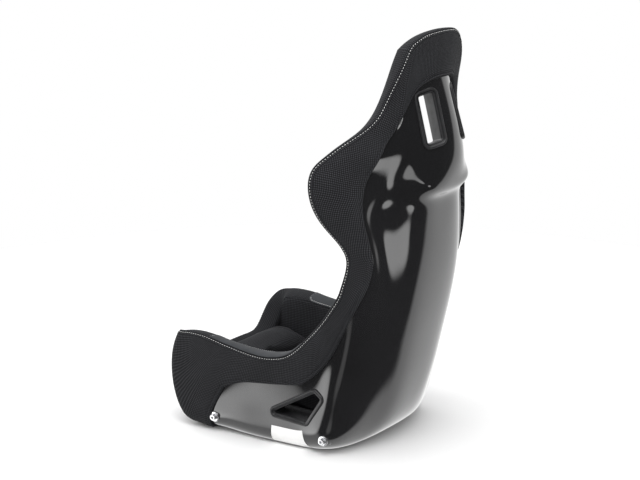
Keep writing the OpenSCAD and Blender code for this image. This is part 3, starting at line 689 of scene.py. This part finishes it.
outer = pt(US[:, None], VS[None, :], 0.0)
inner = pt(US[:, None], VS[None, :], -SHELL_T)
v_, f_, _ = grid_solid(US, VS, outer, inner)
shell = new_obj("shell_moulding", v_, f_, M_GEL, ["shell"])
cut(shell, slot_cutters(3.2, -60, 40) + lap_cutters(2.2, 150, 230) + [crotch_cutter(0.3, -10, 20)])
shell.data.polygons.foreach_set("use_smooth", [True] * len(shell.data.polygons))
shell.data.set_sharp_from_angle(angle=math.radians(38))

# ---------------------------------------------------------------- fabric cover on the outside of the rim
cu = lines(np.arange(0, NR + 0.01, 0.25), [x for x in NEAR], [6 - x for x in NEAR], [30 + x for x in NEAR], [NR - x for x in NEAR], np.arange(6, 9, 0.125), np.arange(22, 30, 0.125))
cv = lines(np.arange(0, 5, 0.25), [5 + x * 0.7 for x in NEAR], np.arange(5.35, 7, 0.12), [NC - x * 0.7 for x in NEAR], [NC])
cv = np.concatenate([-cv[:0:-1], cv])
P0 = pt(cu[:, None], cv[None, :])
um, vm = (cu[:-1] + cu[1:]) / 2, (cv[:-1] + cv[1:]) / 2
window = (um[:, None] > 6) & (um[:, None] < 30) & (np.abs(vm[None, :]) < 5)
edge = [pt(np.linspace(6, 30, 1500), s * 5.0) for s in (-1, 1)] + [pt(np.full(700, u), np.linspace(-5, 5, 700)) for u in (6.0, 30.0)]
ew = edge_distance(P0, np.concatenate([dense(e, 0.6) for e in edge]))
rim_loop = np.concatenate([pt(0.0, np.linspace(-7, 7, 1200)), pt(np.linspace(0, NR, 3000), 7.0), pt(float(NR), np.linspace(7, -7, 800)), pt(np.linspace(NR, 0, 3000), -7.0)])
er = edge_distance(P0, rim_loop)
d_out = 2.0 + 5.8 * np.sqrt(1 - (1 - np.clip(ew / 4.5, 0, 1)) ** 2)
d_out += 0.35 * ramp((ew - 8) / 8) - 1.7 * np.exp(-(((ew - 8.5) / 1.5) ** 2))
d_out += (COVER_T - d_out) * (1 - ramp(er / 5.0))
d_out += 0.35 * smooth_noise(P0, 34.0, 0.7) * ramp(ew / 20) * ramp(er / 12)
outer = pt(cu[:, None], cv[None, :], d_out)
inner = pt(cu[:, None], cv[None, :], 0.05)
v_, f_, used = grid_solid(cu, cv, outer, inner, ~window)
st = st_of(cu, np.array(cv), 6.0)
cover = new_obj("rim_cover_fabric", v_, f_, M_COVER, ["side_cover_left", "side_cover_right", "front_apron", "head_back_cover"])
set_weave(cover, np.concatenate([st, st])[used])
cover.data.set_sharp_from_angle(angle=math.radians(60))


# ---------------------------------------------------------------- inner surface of the upholstery, smoothed once for all pads
IU, IV = np.linspace(0, NR, NR * 8 + 1), np.linspace(-NC, NC, 2 * NC * 8 + 1)
INNER = pt(IU[:, None], IV[None, :], -(SHELL_T + pad(IU[:, None], IV[None, :])))
_fix = INNER.copy()
for _ in range(90):
    a = INNER.copy()
    a[1:-1, 1:-1] = 0.5 * INNER[1:-1, 1:-1] + 0.125 * (INNER[2:, 1:-1] + INNER[:-2, 1:-1] + INNER[1:-1, 2:] + INNER[1:-1, :-2])
    a[0, 1:-1] = 0.5 * INNER[0, 1:-1] + 0.25 * (INNER[0, 2:] + INNER[0, :-2])
    a[-1, 1:-1] = 0.5 * INNER[-1, 1:-1] + 0.25 * (INNER[-1, 2:] + INNER[-1, :-2])
    a[1:-1, 0] = 0.5 * INNER[1:-1, 0] + 0.25 * (INNER[2:, 0] + INNER[:-2, 0])
    a[1:-1, -1] = 0.5 * INNER[1:-1, -1] + 0.25 * (INNER[2:, -1] + INNER[:-2, -1])
    INNER = a
_du = np.gradient(INNER, axis=0)
_dv = np.gradient(INNER, axis=1)
INNER_N = -np.cross(_du, _dv)
INNER_N /= np.linalg.norm(INNER_N, axis=-1, keepdims=True)


def sample(table, u, v):
    u, v = np.broadcast_arrays(np.asarray(u, float), np.asarray(v, float))
    x = np.clip(u * 8, 0, len(IU) - 1.001)
    y = np.clip((v + NC) * 8, 0, len(IV) - 1.001)
    i, j = np.floor(x).astype(int), np.floor(y).astype(int)
    fx, fy = (x - i)[..., None], (y - j)[..., None]
    return table[i, j] * (1 - fx) * (1 - fy) + table[i + 1, j] * fx * (1 - fy) + table[i, j + 1] * (1 - fx) * fy + table[i + 1, j + 1] * fx * fy


def ipt(u, v, h=0.0):
    """Point on the smoothed inner surface, h further into the seat."""
    n = sample(INNER_N, u, v)
    n /= np.linalg.norm(n, axis=-1, keepdims=True)
    return sample(INNER, u, v) + np.asarray(h, float)[..., None] * n


def ldense(a, b, step=0.25):
    return lines(np.arange(a, b + 1e-6, step), [a + x for x in NEAR], [b - x for x in NEAR], [a, b])


def pad_piece(name, u0, u1, v0, v1, material, nodes, crown=3.0, dip=2.6, mirror=True, cutters=None, wrinkle=0.5, backing=None):
    us, vs = ldense(u0, u1), ldense(v0, v1, 0.2)
    made = []
    for side, s in (("left", 1), ("right", -1)) if mirror else (("", 1),):
        vv = vs * s if s > 0 else -vs[::-1]
        P = ipt(us[:, None], vv[None, :])
        e = [ipt(us, vv[0]), ipt(us, vv[-1]), ipt(us[0], vv), ipt(us[-1], vv)]
        ed = edge_distance(P, np.concatenate([dense(x, 0.6) for x in e]))
        h = crown * (1 - np.exp(-((ed / 16) ** 1.3))) - dip * np.exp(-((ed / 3.2) ** 2))
        h = h + wrinkle * smooth_noise(P * np.array([s, 1, 1]), 26.0, 1.9 + u0) * ramp(ed / 12)
        inner = ipt(us[:, None], vv[None, :], h)
        back = pt(us[:, None], vv[None, :], -SHELL_T - 0.4)
        v_, f_, used = grid_solid(us, vv, inner, back)
        ob = new_obj(name + ("_" + side if side else ""), v_, f_, material, [n + ("_" + side if side else "") for n in nodes])
        st = st_of(us, vv, s * 5.5)
        if cutters is None:
            set_weave(ob, np.concatenate([st, st])[used])
        made.append(ob)
    return made


thigh = pad_piece("thigh_bolster", 0, 14, 3.4, 7, M_PAD, ["thigh_pad"], crown=3.0, cutters=1)
for ob, s in zip(thigh, (1, -1)):
    o = convex_outline(LAP_PTS, 12, 6)
    cut(ob, [prism("cut_t", o, 6.4, 120, 230, lambda xy, z, s=s: lap3(xy, z, s))])
    finish_piece(ob, M_PAD)
    ob.data.set_sharp_from_angle(angle=math.radians(50))
    set_weave(ob)
pad_piece("hip_bolster", 14, 18, 3.8, 7, M_PAD, ["hip_pad"], crown=3.2)
pad_piece("shoulder_bolster", 18, 28, 3.8, 7, M_PAD, ["shoulder_pad"], crown=4.0)
pad_piece("head_wing_bolster", 28, 34, 3.8, 7, M_PAD, ["head_wing_pad"], crown=3.0)
pad_piece("front_wall_lining", 0, 3, -3.4, 3.4, M_PAD, ["front_wall_pad"], crown=2.0, mirror=False)
pad_piece("back_lining", 14, 25, -3.8, 3.8, M_PAD, ["back_liner"], crown=1.5, mirror=False)
neck = pad_piece("neck_lining", 25, 34, -3.8, 3.8, M_PAD, ["neck_pad"], crown=2.0, mirror=False, cutters=1)[0]
cut(neck, slot_cutters(3.4, -80, 40))
bm = bmesh.new()
bm.from_mesh(neck.data)
bmesh.ops.remove_doubles(bm, verts=bm.verts, dist=2e-5)
bmesh.ops.dissolve_degenerate(bm, edges=bm.edges, dist=1e-6)
bm.to_mesh(neck.data)
bm.free()
finish_piece(neck, M_PAD)
neck.data.set_sharp_from_angle(angle=math.radians(50))
set_weave(neck)

# ---------------------------------------------------------------- padded roll round the whole rim
LOOP = [(0.0, v) for v in np.linspace(-7, 7, 141)[:-1]] + [(u, 7.0) for u in np.linspace(0, NR, NR * 8 + 1)[:-1]]
LOOP += [(float(NR), v) for v in np.linspace(7, -7, 85)[:-1]] + [(u, -7.0) for u in np.linspace(NR, 0, NR * 8 + 1)[:-1]]
LU, LV = np.array([p[0] for p in LOOP]), np.array([p[1] for p in LOOP])
RP = pt(LU, LV)
RN = snrm(LU, LV)


def ring_smooth(a, times):
    for _ in range(times):
        a = 0.5 * a + 0.25 * (np.roll(a, 1, 0) + np.roll(a, -1, 0))
    return a


RN = ring_smooth(RN, 6)
RN /= np.linalg.norm(RN, axis=-1, keepdims=True)
RT = np.roll(RP, -1, 0) - np.roll(RP, 1, 0)
RT /= np.linalg.norm(RT, axis=-1, keepdims=True)
RO = np.cross(RN, RT)
RO /= np.linalg.norm(RO, axis=-1, keepdims=True)
if (RO[200] * np.array([0, -1, 1])).sum() < 0:
    RO = -RO
IN_SEAM = ipt(LU, LV, 0.0)
OUT_SEAM = RP + RN * COVER_T
RTH = ring_smooth(pad(LU, LV)[:, None], 4)[:, 0]
RS = arc(RP, 0)


CREST = 0.17


def roll_section(t):
    """(a, share): how far out, and the place between the outer seam 0 and the inner seam 1; steep outside, falling away inside."""
    if t < 0.5:
        q = t / 0.5
        ang = q * math.pi / 2
        return math.sin(ang) ** 0.8, CREST * (1 - math.cos(ang) ** 0.9)
    q = (t - 0.5) / 0.5
    share = CREST + (1 - CREST) * q
    return max(0.0, 1 - q**1.75) ** 0.8, share


SEC_T = [0, 0.05, 0.1, 0.155, 0.21, 0.27, 0.33, 0.39, 0.445, 0.5, 0.545, 0.6, 0.66, 0.72, 0.78, 0.84, 0.89, 0.93, 0.965, 0.99, 1.0]
SEC = [roll_section(p) for p in SEC_T]
SEAM_K = 4


def roll_points(extra=0.0):
    rows = []
    wob = 0.5 * smooth_noise(RP * np.array([1, 1, 1]), 40.0, 2.4)
    for k, (a, share) in enumerate(SEC):
        along = OUT_SEAM * (1 - share) + IN_SEAM * share
        groove = 1.9 * math.exp(-((a * ROLL_W / 3.0) ** 2)) if share > 0.5 else 0.0
        dip = 1.15 * math.exp(-(((SEC_T[k] - SEC_T[SEAM_K + 1]) / 0.042) ** 2))
        mid = (OUT_SEAM + IN_SEAM) / 2
        inward = mid - along
        inward /= np.maximum(np.linalg.norm(inward, axis=-1, keepdims=True), 1e-6)
        swell = 0.8 * ramp((SEC_T[k] - 0.24) / 0.1) * (1 - ramp((SEC_T[k] - 0.6) / 0.4))
        p = along + RO * ((a * ROLL_W * 1.02 + wob * a - dip * 0.5 + swell)[:, None]) + inward * (groove + dip)
        rows.append(p)
    return np.stack(rows, 1)


RR = roll_points()
back_pts = [OUT_SEAM - RN * 3.0 - RO * 2.5, IN_SEAM + RN * 3.0 - RO * 2.5]
ring = np.concatenate([RR, back_pts[1][:, None], back_pts[0][:, None]], 1)
n_, k_ = ring.shape[:2]
faces = []
for i in range(n_):
    i2 = (i + 1) % n_
    for j in range(k_):
        j2 = (j + 1) % k_
        faces.append((i * k_ + j, i2 * k_ + j, i2 * k_ + j2, i * k_ + j2))
roll = new_obj("rim_roll", ring.reshape(-1, 3), faces, M_ROLL, ["edge_roll_left", "edge_roll_right", "front_edge_roll", "head_edge_roll"])
around = arc(ring, 1)
set_weave(roll, np.stack([np.broadcast_to(RS[:, None], around.shape), around], -1).reshape(-1, 2))

# ---------------------------------------------------------------- stitches


def stitch_row(path, normal, pitch=6.0, length=4.3, r=0.62, lift=0.35, closed=False):
    """Short thread stitches along a path of points; each one dips into the cloth at its ends."""
    path = np.asarray(path, float)
    if closed:
        path = np.concatenate([path, path[:1]])
        normal = np.concatenate([normal, normal[:1]])
    s = arc(path, 0)
    total = s[-1]
    n = max(1, int(round(total / pitch)))
    pitch = total / n
    verts, faces = [], []
    sides, rings = 6, 5
    for k in range(n):
        q = np.linspace(k * pitch, k * pitch + length, rings)
        c = np.stack([np.interp(q, s, path[:, a]) for a in range(3)], 1)
        m = np.stack([np.interp(q, s, normal[:, a]) for a in range(3)], 1)
        m /= np.linalg.norm(m, axis=1, keepdims=True)
        t = np.gradient(c, axis=0)
        t /= np.linalg.norm(t, axis=1, keepdims=True)
        b = np.cross(t, m)
        x = np.linspace(-1, 1, rings)
        c = c + m * ((lift + 0.35) * (1 - x**2) - 0.35)[:, None]
        rad = r * np.sqrt(np.clip(1 - (np.abs(x) ** 3) * 0.75, 0.1, 1))
        base = len(verts)
        for i in range(rings):
            for j in range(sides):
                a = 2 * math.pi * j / sides
                verts.append(c[i] + rad[i] * (math.cos(a) * b[i] + math.sin(a) * m[i]))
        for i in range(rings - 1):
            for j in range(sides):
                j2 = (j + 1) % sides
                faces.append((base + i * sides + j, base + i * sides + j2, base + (i + 1) * sides + j2, base + (i + 1) * sides + j))
        faces.append(tuple(base + j for j in reversed(range(sides))))
        faces.append(tuple(base + (rings - 1) * sides + j for j in range(sides)))
    return np.array(verts), faces


def stitch_obj(name, rows):
    verts, faces = [], []
    for v, f in rows:
        o = len(verts)
        verts += list(v)
        faces += [tuple(o + i for i in x) for x in f]
    return new_obj(name, verts, faces, M_THREAD)


k = SEAM_K
nn = np.cross(RT, RR[:, k + 1] - RR[:, k - 1])
nn *= np.sign((nn * (RN + RO)).sum(-1))[:, None]
nn /= np.linalg.norm(nn, axis=-1, keepdims=True)
rim_path = 0.65 * RR[:, k] + 0.35 * RR[:, k - 1] - nn * 0.05
stitch_obj("rim_stitching", [stitch_row(rim_path, nn, pitch=6.4, length=3.5, r=0.48, closed=True)])

# ---------------------------------------------------------------- smooth patches over the thigh bolsters
i0 = 140
SIDE_U = LU[i0 : i0 + NR * 8]


def patch_surface(u, w):
    """u along the bolster, giving the roll's section rows there; w (0 at the patch's lower edge on the inside, 1 at the
    outer seam) is not used.
    """
    u = np.asarray(u, float)
    idx = i0 + u * 8
    k = np.clip(np.floor(idx).astype(int), i0, i0 + NR * 8 - 2)
    f = (idx - k)[..., None]
    rr = RR[k] * (1 - f[..., None]) + RR[k + 1] * f[..., None]
    return rr


def make_patch(side, s):
    us = lines(np.arange(1.8, 11.01, 0.125), [1.8 + 0.02 * k for k in range(8)], [11 - 0.02 * k for k in range(8)])
    nw = 30
    chain = patch_surface(us, 0)[:, ::-1][:, 1 : -(SEAM_K + 2)]
    for _ in range(3):
        chain[:, 1:-1] = 0.5 * chain[:, 1:-1] + 0.25 * (chain[:, 2:] + chain[:, :-2])
    L = arc(chain, 1)
    total = L[:, -1]
    su = arc(chain[:, 4], 0)
    R = 14.0
    w0 = np.zeros(len(us))
    for k in range(len(us)):
        x = min(su[k], su[-1] - su[k])
        w0[k] = R * (1 - math.sqrt(max(0.0, 1 - (1 - min(x / R, 1)) ** 2)))
    grid = np.zeros((len(us), nw, 3))
    for k in range(len(us)):
        q = w0[k] + (total[k] - w0[k]) * (np.linspace(0, 1, nw) ** 1.0)
        for a in range(3):
            grid[k, :, a] = np.interp(q, L[k], chain[k, :, a])
    n = np.cross(np.gradient(grid, axis=0), np.gradient(grid, axis=1))
    n /= np.maximum(np.linalg.norm(n, axis=-1, keepdims=True), 1e-9)
    mid = grid[len(us) // 2, 2]
    if n[len(us) // 2, 2, 0] > 0:
        n = -n
    e = np.concatenate([grid[:, 0], grid[:, -1], grid[0], grid[-1]])
    ed = edge_distance(grid, dense(np.concatenate([grid[0][::-1], grid[:, 0], grid[-1]]), 0.6))
    h = 0.5 + 1.0 * (1 - (1 - np.clip(ed / 2.2, 0, 1)) ** 2) - 0.5 * np.exp(-(((ed - 3.6) / 0.9) ** 2))
    top, bot = grid + n * h[..., None], grid - n * 1.5
    if s < 0:
        top, bot, n2 = top * [-1, 1, 1], bot * [-1, 1, 1], n * [-1, 1, 1]
    else:
        n2 = n
    v_, f_, used = grid_solid(us, np.arange(nw), top, bot)
    ob = new_obj("wear_patch_cover_" + side, v_, f_, M_LEATHER, ["wear_patch_" + side])
    ob.data.set_sharp_from_angle(angle=math.radians(60))
    # stitch line, in from the edge
    inner_line = []
    border = np.concatenate([top[0][::-1], top[1:-1, 0], top[-1]])
    nb = np.concatenate([n2[0][::-1], n2[1:-1, 0], n2[-1]])
    cen = top[len(us) // 2, nw // 2]
    t = np.gradient(border, axis=0)
    t /= np.maximum(np.linalg.norm(t, axis=-1, keepdims=True), 1e-9)
    side_dir = np.cross(nb, t)
    m = len(border) // 2
    if ((cen - border[m]) @ side_dir[m]) < 0:
        side_dir = -side_dir
    path = border + side_dir * 3.6 + nb * 0.1
    return stitch_row(path[4:-4], nb[4:-4], pitch=5.6, length=4.2, r=0.6)


rows = [make_patch("left", 1), make_patch("right", -1)]
stitch_obj("patch_stitching", rows)

# ---------------------------------------------------------------- loose cushions: cloth simulation on the CAD solids


def raw_copy(node, shrink=0.0, voxel=0.006):
    """Remeshed copy of a CAD soft solid, drawn in a little."""
    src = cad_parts[node]
    me = src.data.copy()
    ob = bpy.data.objects.new("tmp_" + node, me)
    SCENE.collection.objects.link(ob)
    m = ob.modifiers.new("weld", "WELD")
    m.merge_threshold = 1e-5
    r = ob.modifiers.new("remesh", "REMESH")
    r.mode = "VOXEL"
    r.voxel_size = voxel
    dg = bpy.context.evaluated_depsgraph_get()
    out = bpy.data.meshes.new_from_object(ob.evaluated_get(dg))
    bpy.data.objects.remove(ob)
    res = bpy.data.objects.new(node + "_soft", out)
    SCENE.collection.objects.link(res)
    if shrink:
        n = np.zeros(len(out.vertices) * 3)
        c = np.zeros(len(out.vertices) * 3)
        out.vertices.foreach_get("co", c)
        out.vertex_normals.foreach_get("vector", n)
        out.vertices.foreach_set("co", c - n * shrink)
        out.update()
    return res


def puff(ob, pressure=4.0, cap=0.012, frames=20, pin=None):
    """Inflates the piece with Cloth, caps how far each point moved, and applies it."""
    me = ob.data
    rest = np.zeros(len(me.vertices) * 3)
    me.vertices.foreach_get("co", rest)
    rest = rest.reshape(-1, 3)
    m = ob.modifiers.new("cloth", "CLOTH")
    m.settings.quality = 5
    m.settings.mass = 0.3
    m.settings.tension_stiffness = 12
    m.settings.compression_stiffness = 12
    m.settings.bending_stiffness = 0.5
    m.settings.use_pressure = True
    m.settings.uniform_pressure_force = pressure
    m.settings.effector_weights.gravity = 0
    m.collision_settings.use_collision = False
    m.point_cache.frame_start, m.point_cache.frame_end = 1, frames
    for f in range(1, frames + 1):
        SCENE.frame_set(f)
    dg = bpy.context.evaluated_depsgraph_get()
    got = bpy.data.meshes.new_from_object(ob.evaluated_get(dg))
    ob.modifiers.clear()
    co = np.zeros(len(got.vertices) * 3)
    got.vertices.foreach_get("co", co)
    co = co.reshape(-1, 3)
    mv = co - rest
    ln = np.linalg.norm(mv, axis=1, keepdims=True)
    mv *= np.minimum(1, cap / np.maximum(ln, 1e-9))
    me.vertices.foreach_set("co", (rest + mv).ravel())
    me.update()
    bpy.data.meshes.remove(got)
    SCENE.frame_set(1)


def subdivide(ob, levels=1):
    m = ob.modifiers.new("sub", "SUBSURF")
    m.levels = m.render_levels = levels
    dg = bpy.context.evaluated_depsgraph_get()
    me = bpy.data.meshes.new_from_object(ob.evaluated_get(dg))
    old = ob.data
    ob.modifiers.clear()
    ob.data = me
    bpy.data.meshes.remove(old)


def smooth_mesh(ob, times=4, factor=0.5):
    bm = bmesh.new()
    bm.from_mesh(ob.data)
    for _ in range(times):
        bmesh.ops.smooth_vert(bm, verts=bm.verts, factor=factor, use_axis_x=True, use_axis_y=True, use_axis_z=True)
    bm.to_mesh(ob.data)
    bm.free()


def displace(ob, fn):
    """Moves each vertex along its normal by fn(points in mm) in mm."""
    me = ob.data
    n = np.zeros(len(me.vertices) * 3)
    c = np.zeros(len(me.vertices) * 3)
    me.vertices.foreach_get("co", c)
    me.vertex_normals.foreach_get("vector", n)
    c, n = c.reshape(-1, 3), n.reshape(-1, 3)
    h = fn(c * 1000, n)
    me.vertices.foreach_set("co", (c + n * (h * MM)[:, None]).ravel())
    me.update()


def cushion(node, name, shrink, cap, channels, voxel=0.006):
    ob = raw_copy(node, shrink, voxel)
    smooth_mesh(ob, 3)
    puff(ob, 4.0, cap)
    smooth_mesh(ob, 2)
    subdivide(ob)
    displace(ob, channels)
    ob.name = name
    finish_piece(ob, M_CUSH, [node])
    set_weave(ob)
    return ob


def groove(x, w, depth):
    return -depth * np.exp(-((x / w) ** 2))


def squab_channels(p, n):
    top = ramp((n[:, 2] - 0.1) / 0.5)
    y = p[:, 1]
    h = groove(y - 20, 4.2, 7.0) + groove(y - 112, 4.2, 6.0)
    h += 5.0 * (1 - ((np.mod(y - 20, 92) / 46 - 1) ** 2)) * ramp((156 - np.abs(p[:, 0])) / 40)
    side = groove(np.abs(p[:, 0]) - 128, 4.0, 4.5)
    return (h + side) * top + 0.5 * smooth_noise(p, 30, 0.3)


def leg_channels(p, n):
    top = ramp((n[:, 2] - 0.0) / 0.5)
    side = groove(np.abs(p[:, 0]) - 128, 4.0, 4.0)
    y = p[:, 1]
    return (side + 4.0 * (1 - (np.clip((y + 180) / 62, -1, 1)) ** 2)) * top + 0.5 * smooth_noise(p, 30, 0.9)


def back_channels(zs):
    def fn(p, n):
        f = ramp((-n[:, 1] - 0.1) / 0.5)
        h = 0
        for z in zs:
            h = h + groove(p[:, 2] - z, 4.0, 5.0)
        return (h + groove(np.abs(p[:, 0]) - 70, 4.0, 3.5)) * f + 0.4 * smooth_noise(p, 28, 1.4)

    return fn


cushion("seat_squab", "seat_squab_cushion", 0.004, 0.014, squab_channels)
cushion("leg_support_cushion", "leg_support_pad", 0.003, 0.012, leg_channels)
cushion("lumbar_cushion", "lumbar_pad", 0.002, 0.010, back_channels([210.0]), 0.005)
cushion("back_cushion", "back_pad", 0.002, 0.010, back_channels([365.0, 450.0]), 0.005)
cushion("head_cushion", "head_pad", 0.002, 0.008, lambda p, n: 0.3 * smooth_noise(p, 24, 0.2), 0.004)

foam = raw_copy("base_foam", 0.0, 0.007)
smooth_mesh(foam, 2)
foam.name = "base_foam_block"
finish_piece(foam, M_FOAM, ["base_foam"])

# ---------------------------------------------------------------- belt slot surrounds
REAR = [(4, -22), (4, -3), (4.1, 0.6), (4.6, 1.7), (5.6, 2.2), (6.9, 2.3), (7.6, 1.7), (8.2, 1.55), (8.9, 1.9), (9.6, 3.4), (10.6, 4.6), (12.0, 5.2), (13.8, 5.1), (15.0, 4.4), (15.8, 3.1), (16.1, 1.2), (16.1, -7.5), (13.5, -7.5), (12.8, -1.5), (7.2, -1.5), (6.9, -4), (6.9, -22)]
FRONT = [(6.9, -22.2), (6.9, -41), (13.5, -41.2), (13.8, -38.5), (15.9, -38.5), (16.1, -43.0), (15.6, -45.0), (14.2, -46.1), (11.5, -46.6), (8.5, -46.4), (6.4, -45.6), (5.0, -44.0), (4.1, -42.2), (4, -40), (4, -22.2)]
LAP_OUT = [(3, 186), (3, 200), (3.1, 203.6), (3.8, 204.8), (4.8, 205.2), (6.0, 205.2), (6.6, 205.7), (7.0, 207.2), (7.8, 208.6), (9.0, 209.3), (10.8, 209.4), (12.4, 208.9), (13.5, 207.7), (13.9, 206.0), (13.9, 202.0), (11.5, 202.0), (10.8, 203.6), (6.3, 203.2), (5.9, 201), (5.9, 186)]
LAP_IN = [(5.9, 185.7), (5.9, 168), (6.8, 167), (13.2, 167), (13.9, 165.8), (13.6, 164.2), (12.4, 163.2), (10.0, 162.8), (7.0, 163.0), (5.0, 163.6), (3.6, 164.8), (3.0, 167), (3, 185.7)]
so = subdivide_outline(*convex_outline(SLOT_PTS, 16, 4, 9), 8, 7.0)
lo = subdivide_outline(*convex_outline(LAP_PTS, 12, 4, 9), 8, 7.0)
for side, s in (("left", 1), ("right", -1)):
    swept_ring("harness_surround_rear_" + side, so, REAR, lambda xy, z, s=s: slot3(xy, z, s), M_PLASTIC, ["harness_bezel_rear_" + side])
    swept_ring("harness_surround_front_" + side, so, FRONT, lambda xy, z, s=s: slot3(xy, z, s), M_PLASTIC, ["harness_bezel_front_" + side])
    swept_ring("lap_surround_outer_" + side, lo, LAP_OUT, lambda xy, z, s=s: lap3(xy, z, s), M_PLASTIC, ["lap_bezel_outer_" + side])
    swept_ring("lap_surround_inner_" + side, lo, LAP_IN, lambda xy, z, s=s: lap3(xy, z, s), M_PLASTIC, ["lap_bezel_inner_" + side])


# ---------------------------------------------------------------- CAD nodes that stay, with rounded edges and their materials
def dress(node, material, width=0.0006, segs=3, angle=30):
    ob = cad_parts[node]
    ob.data.materials.clear()
    ob.data.materials.append(material)
    w = ob.modifiers.new("weld", "WELD")
    w.merge_threshold = 1e-6
    b = ob.modifiers.new("round", "BEVEL")
    b.width = width
    b.segments = segs
    b.limit_method = "ANGLE"
    b.angle_limit = math.radians(angle)
    b.harden_normals = False
    for p in ob.data.polygons:
        p.use_smooth = True
    s = ob.modifiers.new("byangle", "EDGE_SPLIT")
    s.split_angle = math.radians(32)


for n in ("crotch_bezel_base", "crotch_bezel_top"):
    dress(n, M_PLASTIC, 0.0008)
for n in ("mount_plate_left", "mount_plate_right"):
    dress(n, M_PLATE, 0.0005)
for n in ("captive_nuts", "mount_bolts", "mount_washers"):
    dress(n, M_ZINC, 0.0005)

# blank label, with a soft edge
lu, lv = np.linspace(8.7, 10.9, 23), np.linspace(2.35, 3.4, 15)
P = pt(lu[:, None], lv[None, :])
ed = edge_distance(P, dense(np.concatenate([P[0], P[:, -1], P[-1][::-1], P[::-1, 0]]), 0.5))
v_, f_, _ = grid_solid(lu, lv, pt(lu[:, None], lv[None, :], 0.32 - 0.14 * np.exp(-ed / 1.5)), pt(lu[:, None], lv[None, :], 0.1))
new_obj("blank_label", v_, f_, M_LABEL, ["label"], sharp=50)

# ---------------------------------------------------------------- stage, light and camera
CAM = Vector((3.2033, 2.0835, 1.3623))
FWD = Vector((-0.8143, -0.5288, -0.2394)).normalized()

floor_mat, nt, b = node_mat("studio_floor")
co = nt.nodes.new("ShaderNodeTexCoord").outputs["Object"]
col = ramp_node(nt, noise(nt, co, 3, 2), [(0.3, (0.86, 0.86, 0.86)), (0.7, (0.88, 0.88, 0.88))])
nt.links.new(col.outputs[0], b.inputs["Base Color"])
b.inputs["Roughness"].default_value = 0.6
bm = bmesh.new()
bmesh.ops.create_circle(bm, cap_ends=True, segments=96, radius=1.7)
me = bpy.data.meshes.new("studio_floor")
bm.to_mesh(me)
bm.free()
floor = bpy.data.objects.new("studio_floor", me)
floor.location = (-0.2, -0.1, -0.0005)
SCENE.collection.objects.link(floor)
me.materials.append(floor_mat)
floor.visible_glossy = False

def aim(az, el):
    a, e = math.radians(az), math.radians(el)
    return (math.cos(a) * math.cos(e), math.sin(a) * math.cos(e), math.sin(e))


world = bpy.data.worlds.new("studio")
SCENE.world = world
world.use_nodes = True
wn = world.node_tree
for n in list(wn.nodes):
    wn.nodes.remove(n)
wo = wn.nodes.new("ShaderNodeOutputWorld")
gen = wn.nodes.new("ShaderNodeTexCoord").outputs["Generated"]
LOBES = [
    ((-0.652, -0.630, -0.423), -0.02, 0.14, 1.25),
    (aim(-50, -15), 0.940, 0.972, 3.6),
    (aim(6, -31), 0.972, 0.998, 0.7),
    (aim(84, -14), 0.9868, 0.9965, 3.6),
    (aim(59, 1), 0.9935, 0.998, 3.0),
    (aim(40, 70), 0.75, 0.95, 2.0),
]
total = None
for axis, lo_, hi_, power in LOBES:
    dt = wn.nodes.new("ShaderNodeVectorMath")
    dt.operation = "DOT_PRODUCT"
    wn.links.new(gen, dt.inputs[0])
    dt.inputs[1].default_value = axis
    mr = wn.nodes.new("ShaderNodeMapRange")
    mr.interpolation_type = "SMOOTHSTEP"
    mr.inputs["From Min"].default_value = lo_
    mr.inputs["From Max"].default_value = hi_
    mr.inputs["To Min"].default_value = 0.0
    mr.inputs["To Max"].default_value = power
    wn.links.new(dt.outputs["Value"], mr.inputs["Value"])
    if total is None:
        total = math_node(wn, "ADD", mr.outputs[0], 0.13)
    else:
        total = math_node(wn, "ADD", total, mr.outputs[0])
env = wn.nodes.new("ShaderNodeBackground")
wn.links.new(total, env.inputs["Strength"])
white = wn.nodes.new("ShaderNodeBackground")
white.inputs["Color"].default_value = (1, 1, 1, 1)
white.inputs["Strength"].default_value = 1.0
lp = wn.nodes.new("ShaderNodeLightPath")
mix = wn.nodes.new("ShaderNodeMixShader")
wn.links.new(lp.outputs["Is Glossy Ray"], mix.inputs[0])
wn.links.new(white.outputs[0], mix.inputs[1])
wn.links.new(env.outputs[0], mix.inputs[2])
wn.links.new(mix.outputs[0], wo.inputs[0])


def area(name, loc, target, w, h, watts, color=(1, 1, 1)):
    l = bpy.data.lights.new(name, "AREA")
    l.shape = "RECTANGLE"
    l.size, l.size_y = w, h
    l.energy = watts
    l.color = color
    o = bpy.data.objects.new(name, l)
    o.location = loc
    o.rotation_mode = "QUATERNION"
    o.rotation_quaternion = (Vector(target) - Vector(loc)).to_track_quat("-Z", "Y")
    SCENE.collection.objects.link(o)
    return o


area("key_top", (0.9, 0.4, 3.0), (0, 0, 0.3), 2.4, 2.4, 60)
area("side_strip", (2.6, 2.6, 2.6), (0, 0.2, 0.4), 0.7, 2.0, 18)
area("front_fill", (-0.6, -3.2, 1.8), (0, 0, 0.4), 2.0, 1.6, 22)

cam_data = bpy.data.cameras.new("camera")
cam_data.sensor_width = 36.0
cam_data.lens = 98.39
cam_data.clip_start, cam_data.clip_end = 0.1, 60
cam = bpy.data.objects.new("camera", cam_data)
cam.location = CAM
cam.rotation_mode = "QUATERNION"
cam.rotation_quaternion = FWD.to_track_quat("-Z", "Y")
SCENE.collection.objects.link(cam)
SCENE.camera = cam
SCENE.view_settings.view_transform = "Standard"
SCENE.view_settings.look = "None"
